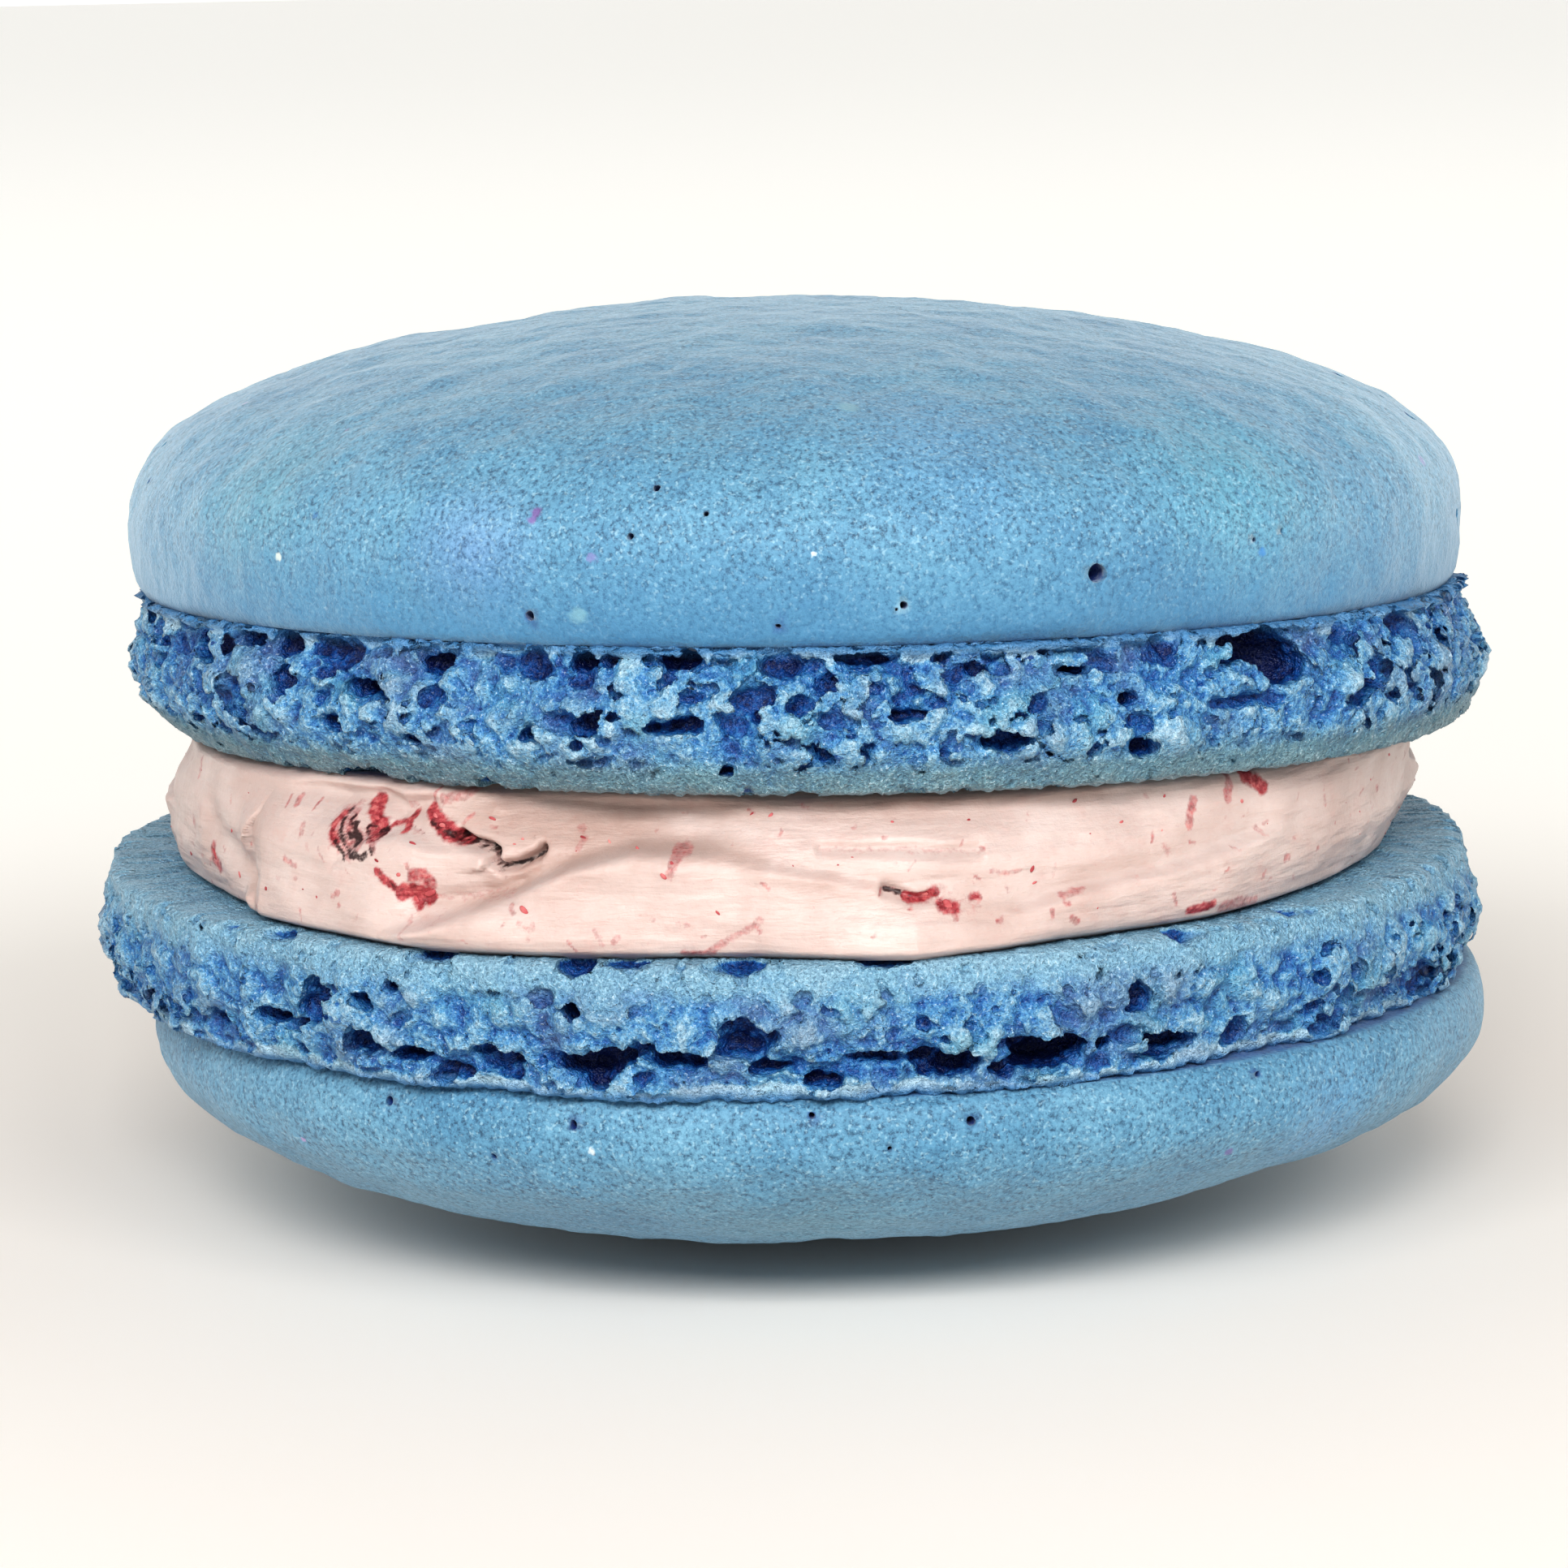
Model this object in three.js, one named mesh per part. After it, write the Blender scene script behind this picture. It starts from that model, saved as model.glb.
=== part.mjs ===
// A French macaron lying on its lower shell: two almond meringue shells with a cream filling between.
// Millimetres, +Z up. The macaron rests on the plane z = 0 and the side x = 0, y < 0 is its front.
// Each shell is a smooth dome on a rough foot, the ruffled band that rises while the shell bakes.
// Places round the shells are given as a turn in degrees from the front, positive towards +X.

import * as THREE from "three";

// Heights of the whole, which came out of the oven a little uneven.
const LOWER_FACE = 11.94;
const UPPER_FACE = 16.11;
const JOINT_GAP = 0.3;
const UPPER_NOD = -1.38;
const UPPER_LEAN = 0.52;

// The dome: its radius where it is widest, its height over the seam with the foot, how far above the
// seam it is widest, how far it curls in at the seam, and the two powers that shape its curve.
const UPPER_DOME = { radius: 21.75, height: 9.13, widestAt: 2.15, curl: 0.4, rise: 2.4, round: 1.94, shift: 0.31 };
const LOWER_DOME = { radius: 22.03, height: 7.94, widestAt: 1.4, curl: 0.4, rise: 1.94, round: 1.79, shift: 0.82 };

// The foot: its height, and its radius and sideways shift at the rim, at mid height and at the seam.
const UPPER_FOOT = {
  height: 4.4,
  rim: { radius: 21.2, shift: 1.2 },
  middle: { radius: 22.2, shift: 0.8 },
  seam: { radius: 21.95, shift: 0.7 },
};
const LOWER_FOOT = {
  height: 4.2,
  rim: { radius: 22.0, shift: 0.1 },
  middle: { radius: 22.95, shift: -0.15 },
  seam: { radius: 22.6, shift: -0.1 },
};

// Burst bubbles of the feet that can be told apart from a step away. "drop" is the distance from the
// seam, measured along the foot.
const UPPER_HOLES = [
  { turn: -51.7, drop: 0.3, wide: 1.6, tall: 0.9, deep: 0.9 },
  { turn: -46.7, drop: 0.4, wide: 1.4, tall: 0.9, deep: 0.9 },
  { turn: -42.5, drop: 0.6, wide: 1.5, tall: 0.9, deep: 0.9 },
  { turn: -10, drop: 0.45, wide: 1.5, tall: 1.1, deep: 1.0 },
  { turn: 4.1, drop: 0.4, wide: 2.4, tall: 0.8, deep: 0.8 },
  { turn: 35.5, drop: 2.2, wide: 2.8, tall: 0.9, deep: 0.8 },
  { turn: 40.9, drop: 1.0, wide: 2.8, tall: 1.8, deep: 1.7 },
];
const LOWER_HOLES = [
  { turn: -39.2, drop: 2.2, wide: 1.9, tall: 1.7, deep: 1.3 },
  { turn: -35.1, drop: 1.3, wide: 1.7, tall: 1.1, deep: 1.1 },
  { turn: -24.3, drop: 1.2, wide: 1.9, tall: 1.1, deep: 1.2 },
  { turn: -15.9, drop: 1.2, wide: 2.4, tall: 1.2, deep: 1.3 },
  { turn: -3.5, drop: 2.3, wide: 1.6, tall: 1.0, deep: 0.9 },
  { turn: 19.3, drop: 1.3, wide: 3.2, tall: 1.5, deep: 1.6 },
  { turn: 27.6, drop: 2.5, wide: 1.4, tall: 1.2, deep: 1.0 },
  { turn: 29.5, drop: 1.0, wide: 2.2, tall: 1.0, deep: 1.1 },
];

// How many smaller ones each foot has.
const SMALL_HOLES = 95;

// The cream: its mean radius, its shift to the side and to the front, how far it bulges at mid height,
// how far it sags out at the bottom and in at the top, and how far its edges turn in.
const CREAM = { radius: 20.6, shift: 0.25, forward: 0.45, bulge: 0.45, sag: 0.35, roundedEdge: 0.8 };

// Where the cream was pressed out further or less far than elsewhere, "spread" being half a width in
// degrees.
const CREAM_LOBES = [
  { turn: -62, spread: 12, proud: -0.4 },
  { turn: -28, spread: 13, proud: 0.55 },
  { turn: 9, spread: 8, proud: 0.75 },
  { turn: 62, spread: 18, proud: -0.5 },
  { turn: 120, spread: 20, proud: 0.5 },
  { turn: 160, spread: 12, proud: -0.4 },
  { turn: 200, spread: 18, proud: 0.5 },
  { turn: 245, spread: 14, proud: -0.3 },
];

// The folds that the palette knife left in it. A fold runs between two places, "up" being the share
// of the height.
const CREAM_FOLDS = [
  { from: { turn: -30, up: 0.1 }, to: { turn: -13, up: 0.62 }, wide: 1.3, proud: 0.65 },
  { from: { turn: 1, up: 0.72 }, to: { turn: 14, up: 0.7 }, wide: 0.9, proud: -0.4 },
  { from: { turn: 21, up: 0.45 }, to: { turn: 37, up: 0.4 }, wide: 0.9, proud: -0.4 },
  { from: { turn: -62, up: 0.3 }, to: { turn: -52, up: 0.42 }, wide: 1.6, proud: 0.5 },
  { from: { turn: -38, up: 0.95 }, to: { turn: -44, up: 0.8 }, wide: 1.1, proud: -0.9 },
  { from: { turn: 110, up: 0.3 }, to: { turn: 135, up: 0.6 }, wide: 1.4, proud: 0.5 },
  { from: { turn: -150, up: 0.6 }, to: { turn: -120, up: 0.4 }, wide: 1.2, proud: -0.5 },
  { from: { turn: 165, up: 0.35 }, to: { turn: 190, up: 0.65 }, wide: 1.3, proud: 0.5 },
];

// How finely the pieces are cut: steps round a rough band, and rings up each stretch.
const FINE_STEPS = 160;
const PLAIN_STEPS = FINE_STEPS / 2;
const FOOT_RINGS = 9;
const DOME_RINGS = 9;
const FACE_RINGS = 2;
const CREAM_STEPS = 120;
const CREAM_RINGS = 8;

const SHELL_COLOUR = 0x7fb0d0;
const CREAM_COLOUR = 0xf3e1d8;

const mix = THREE.MathUtils.lerp;
const smooth = THREE.MathUtils.smoothstep;
const radians = THREE.MathUtils.degToRad;

// A repeatable random number from 0 to 1 for each call.
function drawsFrom(seed) {
  let state = seed;
  return () => {
    state = (state + 0x6d2b79f5) | 0;
    let bits = Math.imul(state ^ (state >>> 15), 1 | state);
    bits = (bits + Math.imul(bits ^ (bits >>> 7), 61 | bits)) ^ bits;
    return ((bits ^ (bits >>> 14)) >>> 0) / 4294967296;
  };
}

// A fixed value from -1 to 1 at each corner of a cubic lattice.
function cornerValue(x, y, z) {
  let bits = Math.imul(x, 374761393) + Math.imul(y, 668265263) + Math.imul(z, 2147483647 - 1274126177);
  bits = Math.imul(bits ^ (bits >>> 13), 1274126177);
  return ((bits ^ (bits >>> 16)) >>> 0) / 2147483648 - 1;
}

// Smooth lumps of the given size, from -1 to 1: the lattice values blended inside each cube.
function lumps(point, size, seed) {
  const [x, y, z] = [point.x / size + seed * 17.3, point.y / size, point.z / size];
  const [cx, cy, cz] = [Math.floor(x), Math.floor(y), Math.floor(z)];
  const [fx, fy, fz] = [smooth(x - cx, 0, 1), smooth(y - cy, 0, 1), smooth(z - cz, 0, 1)];
  const edge = (dy, dz) => mix(cornerValue(cx, cy + dy, cz + dz), cornerValue(cx + 1, cy + dy, cz + dz), fx);
  return mix(mix(edge(0, 0), edge(1, 0), fy), mix(edge(0, 1), edge(1, 1), fy), fz);
}

// The direction from the axis at a turn, seen from above.
function outwards(turn) {
  return new THREE.Vector3(Math.sin(radians(turn)), -Math.cos(radians(turn)), 0);
}

// The shorter way round from one turn to another, in degrees.
function turnBetween(from, to) {
  return THREE.MathUtils.euclideanModulo(to - from + 180, 360) - 180;
}

// A ring of points: "place" gives the point at each turn.
function ring(steps, place) {
  return Array.from({ length: steps }, (_, i) => place((360 * i) / steps));
}

// A closed skin through rings of points, from the pole "start" to the pole "end". Two rings that
// follow each other have the same number of points, or one has half the points of the other.
function skin(start, rings, end) {
  const points = [start, ...rings.flat(), end];
  const faces = [];
  let first = 1;
  const last = points.length - 1;
  for (let i = 0; i < rings[0].length; i += 1) {
    faces.push(0, 1 + ((i + 1) % rings[0].length), 1 + i);
  }
  for (let k = 0; k + 1 < rings.length; k += 1) {
    const here = rings[k].length;
    const there = rings[k + 1].length;
    const next = first + here;
    const low = (i) => first + (i % here);
    const high = (i) => next + (i % there);
    for (let i = 0; i < Math.min(here, there); i += 1) {
      if (here === there && (i + k) % 2) {
        faces.push(low(i), low(i + 1), high(i + 1), low(i), high(i + 1), high(i));
      } else if (here === there) {
        faces.push(low(i), low(i + 1), high(i), low(i + 1), high(i + 1), high(i));
      } else if (here > there) {
        faces.push(low(2 * i), low(2 * i + 1), high(i), low(2 * i + 1), high(i + 1), high(i));
        faces.push(low(2 * i + 1), low(2 * i + 2), high(i + 1));
      } else {
        faces.push(low(i), high(2 * i + 1), high(2 * i), low(i), low(i + 1), high(2 * i + 1));
        faces.push(low(i + 1), high(2 * i + 2), high(2 * i + 1));
      }
    }
    first = next;
  }
  const top = rings.at(-1).length;
  for (let i = 0; i < top; i += 1) {
    faces.push(first + i, first + ((i + 1) % top), last);
  }
  const geometry = new THREE.BufferGeometry().setFromPoints(points);
  geometry.setIndex(faces);
  geometry.computeVertexNormals();
  return geometry;
}

// How deep the burst bubbles are at a turn and a distance from the seam: a bowl for each one, and
// the deepest where bowls meet.
function holeDepth(holes, turn, drop, radius) {
  let depth = 0;
  for (const hole of holes) {
    const across = (radians(turnBetween(hole.turn, turn)) * radius) / (hole.wide / 2);
    const along = (drop - hole.drop) / (hole.tall / 2);
    const bowl = 1 - (across * across + along * along) / 1.4;
    depth = Math.max(depth, hole.deep * Math.sqrt(Math.max(bowl, 0)));
  }
  return depth;
}

// The many smaller burst bubbles: spread at random, wider and deeper near the seam, where the dome
// lifted off the batter.
function scatteredHoles(count, height, seed) {
  const draw = drawsFrom(seed);
  return Array.from({ length: count }, () => {
    const share = draw() ** 1.4;
    const size = mix(2.2, 1.5, share) * mix(0.8, 1.3, draw());
    return {
      turn: 360 * draw(),
      drop: height * mix(0.06, 0.9, share),
      wide: size * mix(1.0, 1.5, draw()),
      tall: size * 0.8,
      deep: size * mix(0.25, 0.42, draw()),
    };
  });
}

// The radius and the sideways shift of a foot, "share" being 0 at the rim and 1 at the seam.
function footShape(foot, share) {
  const curve = (key) => {
    const below = mix(foot.rim[key], foot.middle[key], Math.sin(Math.PI * Math.min(share, 0.5)));
    const above = mix(foot.middle[key], foot.seam[key], smooth(share, 0.5, 1));
    return share < 0.5 ? below : above;
  };
  return { radius: curve("radius"), shift: curve("shift") };
}

// One shell standing on its flat face, z = 0, with the dome upwards. The shell that is turned over
// has its front at the back until then. The dome goes no higher than "restAt".
function shellGeometry({ dome, foot, holes, seed, turnedOver = false, restAt = Infinity }) {
  const allHoles = [...holes, ...scatteredHoles(SMALL_HOLES, foot.height, seed)];
  const fromFront = (turn) => (turnedOver ? 180 - turn : turn);
  const middle = (shift, z) => new THREE.Vector3(shift, 0, z);
  const roundAt = (radius, shift, z, turn) => {
    return outwards(turn).multiplyScalar(radius).add(middle(shift, z));
  };

  const facePoint = (share) => (turn) => {
    return roundAt(foot.rim.radius * share, foot.rim.shift * share, 0, turn);
  };

  const footPoint = (share) => (turn) => {
    const { radius, shift } = footShape(foot, share);
    const z = foot.height * share;
    const smoothPoint = roundAt(radius, shift, z, turn);
    const roughness = mix(0.15, 1, smooth(share, 0, 0.45));
    const waves = 0.3 * lumps(smoothPoint, 5.2, seed) + 0.2 * lumps(smoothPoint, 1.9, seed + 1);
    const depth = holeDepth(allHoles, fromFront(turn), foot.height - z, radius);
    const settled = radius + roughness * (waves - depth) - 0.25 * (1 - smooth(share, 0, 0.12));
    return roundAt(settled, shift, z, turn);
  };

  const groovePoint = (turn) => {
    return roundAt(dome.radius - dome.curl - 0.25, dome.shift, foot.height + 0.05, turn);
  };

  const curlPoint = (share) => (turn) => {
    const angle = (share * Math.PI) / 2;
    const radius = dome.radius - dome.curl * (1 - Math.sin(angle));
    const z = foot.height + mix(0.25, dome.widestAt, 1 - Math.cos(angle));
    return roundAt(radius, dome.shift, z, turn);
  };

  const domePoint = (share) => (turn) => {
    const angle = (share * Math.PI) / 2;
    const radius = dome.radius * Math.cos(angle) ** (2 / dome.round);
    const rise = (dome.height - dome.widestAt) * Math.sin(angle) ** (2 / dome.rise);
    const point = roundAt(radius, dome.shift, foot.height + dome.widestAt + rise, turn);
    const dent = 0.12 * lumps(point, 9, seed + 2) * smooth(radius, 6, 12);
    return point.setZ(Math.min(point.z + dent, restAt));
  };

  const rings = [];
  for (let i = 1; i <= FACE_RINGS; i += 1) {
    rings.push(ring(PLAIN_STEPS, facePoint((0.94 * i) / FACE_RINGS)));
  }
  for (let i = 0; i <= FOOT_RINGS; i += 1) {
    rings.push(ring(FINE_STEPS, footPoint(mix(0.03, 0.98, i / FOOT_RINGS))));
  }
  rings.push(ring(PLAIN_STEPS, groovePoint));
  rings.push(ring(PLAIN_STEPS, curlPoint(0)), ring(PLAIN_STEPS, curlPoint(0.5)));
  for (let i = 0; i < DOME_RINGS; i += 1) {
    rings.push(ring(PLAIN_STEPS, domePoint(i / DOME_RINGS)));
  }
  const apex = Math.min(foot.height + dome.height, restAt);
  return skin(middle(0, 0), rings, middle(dome.shift, apex));
}

// How far the cream stands proud of its mean side at a turn and a share of the height.
function foldRelief(turn, up, height) {
  let relief = 0;
  for (const fold of CREAM_FOLDS) {
    const length = radians(turnBetween(fold.from.turn, fold.to.turn)) * CREAM.radius;
    const climb = (fold.to.up - fold.from.up) * height;
    const x = radians(turnBetween(fold.from.turn, turn)) * CREAM.radius;
    const y = (up - fold.from.up) * height;
    const along = THREE.MathUtils.clamp((x * length + y * climb) / (length ** 2 + climb ** 2), 0, 1);
    const away = Math.hypot(x - along * length, y - along * climb);
    relief += fold.proud * Math.exp(-((away / (fold.wide / 2)) ** 2));
  }
  return relief;
}

// The cream between the two flat faces. The upper shell nods and leans, so the top face slopes.
function creamGeometry() {
  const slope = (x, y) => {
    return y * Math.tan(radians(UPPER_NOD)) - x * Math.tan(radians(UPPER_LEAN));
  };
  const floorAt = LOWER_FACE + JOINT_GAP;
  const ceilingAt = (x, y) => UPPER_FACE - JOINT_GAP + slope(x, y);
  const at = (radius, up, turn) => {
    const point = outwards(turn).multiplyScalar(radius);
    point.add(new THREE.Vector3(CREAM.shift, -CREAM.forward, 0));
    return point.setZ(mix(floorAt, ceilingAt(point.x, point.y), up));
  };
  const height = UPPER_FACE - LOWER_FACE - 2 * JOINT_GAP;

  const sidePoint = (up) => (turn) => {
    const mean = at(CREAM.radius, up, turn);
    const outline = CREAM_LOBES.map((lobe) => {
      return lobe.proud * Math.exp(-((turnBetween(lobe.turn, turn) / lobe.spread) ** 2));
    }).reduce((sum, part) => sum + part, mix(CREAM.sag, -CREAM.sag, up));
    const waves = 0.22 * lumps(mean, 2.6, 6) + 0.1 * lumps(mean, 1.2, 7);
    const fromEdge = 1 - Math.abs(2 * up - 1);
    const bulge = CREAM.bulge * Math.sqrt(fromEdge);
    const turnedIn = CREAM.roundedEdge * (1 - smooth(fromEdge, 0, 0.3)) ** 2;
    const relief = (waves + foldRelief(turn, up, height)) * smooth(fromEdge, 0, 0.25);
    return at(CREAM.radius + outline + bulge - turnedIn + relief, up, turn);
  };

  const facePoint = (share, up) => (turn) => at(CREAM.radius * share, up, turn);

  const rings = [ring(CREAM_STEPS / 2, facePoint(0.5, 0)), ring(CREAM_STEPS / 2, facePoint(0.9, 0))];
  for (let i = 0; i <= CREAM_RINGS; i += 1) {
    rings.push(ring(CREAM_STEPS, sidePoint(i / CREAM_RINGS)));
  }
  rings.push(ring(CREAM_STEPS / 2, facePoint(0.9, 1)), ring(CREAM_STEPS / 2, facePoint(0.5, 1)));
  return skin(at(0, 0, 0), rings, at(0, 1, 0));
}

const meringue = new THREE.MeshStandardMaterial({ color: SHELL_COLOUR, roughness: 0.75, metalness: 0 });
const cream = new THREE.MeshStandardMaterial({ color: CREAM_COLOUR, roughness: 0.45, metalness: 0 });

const upperShell = new THREE.Mesh(
  shellGeometry({ dome: UPPER_DOME, foot: UPPER_FOOT, holes: UPPER_HOLES, seed: 11 }),
  meringue,
);
upperShell.name = "top_shell";
upperShell.position.z = UPPER_FACE;
upperShell.rotation.order = "YXZ";
upperShell.rotation.set(radians(UPPER_NOD), radians(UPPER_LEAN), 0);

const filling = new THREE.Mesh(creamGeometry(), cream);
filling.name = "filling";

// The lower shell is turned over, and its dome is flattened where the macaron lies on it.
const lowerShell = new THREE.Mesh(
  shellGeometry({
    dome: LOWER_DOME,
    foot: LOWER_FOOT,
    holes: LOWER_HOLES,
    seed: 23,
    turnedOver: true,
    restAt: LOWER_FACE,
  }),
  meringue.clone(),
);
lowerShell.name = "bottom_shell";
lowerShell.position.z = LOWER_FACE;
lowerShell.rotation.x = Math.PI;

const macaron = new THREE.Group();
macaron.add(upperShell, filling, lowerShell);

// The origin is under the middle of the whole.
const middle = new THREE.Box3().setFromObject(macaron, true).getCenter(new THREE.Vector3());
macaron.position.set(-middle.x, -middle.y, 0);

export default macaron;
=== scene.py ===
# %% [markdown]
# # A blue French macaron
# A macaron is two shells of almond meringue with cream pressed between them. Each shell has a smooth
# dome and a rough foot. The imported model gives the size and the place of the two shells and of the
# cream. It could be painted as it is, but its solids are too coarse for bubbles of a tenth of a
# millimetre. So each solid is replaced by a finer piece of the same form, worked out from the same
# named sizes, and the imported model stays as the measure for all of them.

import itertools
import math
import random

import bmesh
import bpy
import numpy as np
from mathutils import Matrix, Vector, noise


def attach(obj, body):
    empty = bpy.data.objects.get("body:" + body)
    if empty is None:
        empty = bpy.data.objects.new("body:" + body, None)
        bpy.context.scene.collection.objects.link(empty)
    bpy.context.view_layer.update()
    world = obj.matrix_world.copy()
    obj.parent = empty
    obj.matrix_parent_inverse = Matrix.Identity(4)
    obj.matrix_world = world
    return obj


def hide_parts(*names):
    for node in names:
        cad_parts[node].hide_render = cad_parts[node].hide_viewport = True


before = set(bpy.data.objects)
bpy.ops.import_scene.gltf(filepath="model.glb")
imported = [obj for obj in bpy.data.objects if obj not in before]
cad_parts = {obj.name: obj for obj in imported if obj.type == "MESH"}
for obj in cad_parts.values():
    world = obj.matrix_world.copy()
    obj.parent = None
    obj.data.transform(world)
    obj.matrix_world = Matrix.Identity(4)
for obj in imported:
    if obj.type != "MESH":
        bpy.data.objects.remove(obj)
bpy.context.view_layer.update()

# %% [markdown]
# # Millimetres, and what moves points
# Blender works in metres, in which a bubble is a very small number that remeshing can't handle well.
# Each piece is therefore modelled in millimetres and made a thousand times smaller as its last step.
# Points are moved in bulk, as arrays, because a loop over a hundred thousand points is slow.

# %% Helpers for points and objects
MM = 0.001
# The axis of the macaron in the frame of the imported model, in millimetres.
CENTRING = Vector((0.033, -0.194, 0))
SEED_STEP = (37.1, 11.7, 5.3)


def smoothstep(value, low, high):
    """0 below low, 1 above high, and a soft S between them."""
    share = np.clip((value - low) / (high - low), 0, 1)
    return share * share * (3 - 2 * share)


def read_points(mesh):
    """The mesh's points as an array of rows."""
    flat = np.empty(3 * len(mesh.vertices), np.float32)
    mesh.vertices.foreach_get("co", flat)
    return flat.reshape(-1, 3).astype(float)


def write_points(mesh, points):
    mesh.vertices.foreach_set("co", points.astype(np.float32).ravel())
    mesh.update()


def lumps(points, size, seed):
    """Soft random lumps of a size in millimetres, from about -1 to 1, one value for each point."""
    offset = Vector([step * seed for step in SEED_STEP])
    return np.array([noise.noise(Vector(point) / size + offset) for point in points])


def turn_of(points):
    """The turn round the axis in degrees: 0 at the front, positive towards +X."""
    return np.degrees(np.arctan2(points[:, 0], -points[:, 1]))


def turn_gap(turns, turn):
    """How far each turn is from another one, the shorter way round."""
    return (turns - turn + 180) % 360 - 180


def new_object(name, data):
    """Puts a mesh, a lamp or a camera into the scene as an object."""
    made = bpy.data.objects.new(name, data)
    bpy.context.scene.collection.objects.link(made)
    return made


# %% [markdown]
# # The camera
# The photo was taken from a little above the macaron, from the front. Four facts place the camera:
# its distance, its height, the height that it looks at, and how far it leans. The lens follows from
# the size of the macaron in the picture. A camera object could be turned by angles, but a matrix made
# of its three directions leaves no doubt about the order of the turns.

# %% Camera
CAMERA_DISTANCE = 160.0
CAMERA_HEIGHT = 39.84
LOOK_HEIGHT = 13.54
CAMERA_SIDE = -0.2
CAMERA_LEAN = math.radians(1.2)
PHOTO_PIXELS = 1932
FOCAL_PIXELS = 6000
SENSOR = 36.0

eye = Vector((CAMERA_SIDE, -CAMERA_DISTANCE, CAMERA_HEIGHT)) + CENTRING
aim = Vector((CAMERA_SIDE, 0, LOOK_HEIGHT)) + CENTRING
ahead = (aim - eye).normalized()
across = ahead.cross(Vector((0, 0, 1))).normalized()
above = across.cross(ahead)
right = across * math.cos(CAMERA_LEAN) - above * math.sin(CAMERA_LEAN)
up = above * math.cos(CAMERA_LEAN) + across * math.sin(CAMERA_LEAN)

camera_data = bpy.data.cameras.new("camera")
camera_data.sensor_width = SENSOR
camera_data.lens = SENSOR * FOCAL_PIXELS / PHOTO_PIXELS
camera_data.clip_start = 0.01
camera = new_object("camera", camera_data)
camera.matrix_world = Matrix.Translation(eye * MM) @ Matrix((right, up, -ahead)).transposed().to_4x4()
bpy.context.scene.camera = camera
print("Lens", round(camera_data.lens, 1), "mm")

# %% [markdown]
# # The form of a shell
# A shell is nearly round, so half of its outline turned about its axis gives it. The spin of bmesh
# would do that too, but takes over a minute for a net as fine as this one. A Screw modifier takes a
# second. The outline has a flat face at the bottom, the foot, a groove, and the dome, whose curve is
# a superellipse, fuller than a circle's. It is modelled with the dome upwards. Only then is the lower
# shell turned over.

# %% Sizes of the shells
# Millimetres and degrees. "face" is the height of the flat face that lies on the cream, "nod" and
# "lean" are how far the shell is tipped, and the three values of the foot are at its rim, halfway and
# at the seam. The dome has its widest ring at "widest_at" above the seam and turns in below it by
# "curl". "rise" and "round" are the powers of its curve.
UPPER = {
    "name": "upper_meringue",
    "node": "top_shell",
    "seed": 11,
    "face": 16.11,
    "nod": -1.38,
    "lean": 0.52,
    "turned_over": False,
    "dome": {"radius": 21.75, "height": 9.13, "widest_at": 2.15, "curl": 0.3, "rise": 2.4, "round": 1.94},
    "dome_shift": 0.31,
    "foot_height": 4.4,
    "foot_radius": (21.2, 22.25, 21.65),
    "foot_shift": (1.05, 0.6, 0.5),
}
LOWER = {
    "name": "lower_meringue",
    "node": "bottom_shell",
    "seed": 23,
    "face": 11.94,
    "nod": 0.0,
    "lean": 0.0,
    "turned_over": True,
    "dome": {"radius": 22.03, "height": 7.94, "widest_at": 1.4, "curl": 0.4, "rise": 1.94, "round": 1.79},
    "dome_shift": 0.82,
    "foot_height": 4.2,
    "foot_radius": (22.35, 22.7, 22.25),
    "foot_shift": (-0.25, -0.1, -0.05),
}


def along_foot(shell, key, height):
    """The foot's radius or shift at a height: three stated values with a smooth curve through them."""
    rim, middle, seam = shell[key]
    share = np.clip(np.asarray(height, float) / shell["foot_height"], 0, 1)
    lower = rim + (middle - rim) * np.sin(np.pi * np.minimum(share, 0.5))
    upper = middle + (seam - middle) * smoothstep(share, 0.5, 1)
    return np.where(share < 0.5, lower, upper)


# %% The two outlines, spun
# The dome and the foot are two pieces that meet at the seam, where a real shell shows a line too.
# The foot gets a net of 0.15 mm, because all its crumbs are made by moving or cutting that net.
DOME_STEPS = 480
DOME_RINGS = 84
CURL_RINGS = 7
FOOT_STEPS = 960
FOOT_RING = 0.15
# Rings of the flat face, closer together towards the rim.
FACE_RADII = (0, 10, 16, 19, 20, 20.5, 21)
RIM_ROUNDING = 0.25
# The top of the foot: how far outside the dome's lowest edge, and how far below the seam.
FOOT_TOP = ((0.45, 0.12), (0.2, 0), (-0.3, 0))
GROOVE_DEPTH = 0.05
# The underside of the dome: how far inside the groove, and how far below the seam.
DOME_UNDERSIDE = ((2, 0.5), (0.3, 0.04), (0, 0))
# The lowest edge of the dome's skin lies this far above the seam.
DOME_LIP = 0.1


def foot_outline(shell):
    """From the middle of the flat face to the rim, up the side and back to the axis."""
    foot = shell["foot_height"]
    rim = shell["foot_radius"][0] - RIM_ROUNDING
    points = [(radius, 0) for radius in FACE_RADII if radius < rim - 0.1]
    points.append((rim, 0))
    rings = round(foot / FOOT_RING)
    for ring in range(rings + 1):
        height = RIM_ROUNDING / 2 + (foot - RIM_ROUNDING / 2) * ring / rings
        points.append((float(along_foot(shell, "foot_radius", height)), height))
    edge = shell["dome"]["radius"] - shell["dome"]["curl"]
    return [*points[:-2], *[(edge + out, foot - down) for out, down in FOOT_TOP], (0, foot)]


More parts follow.
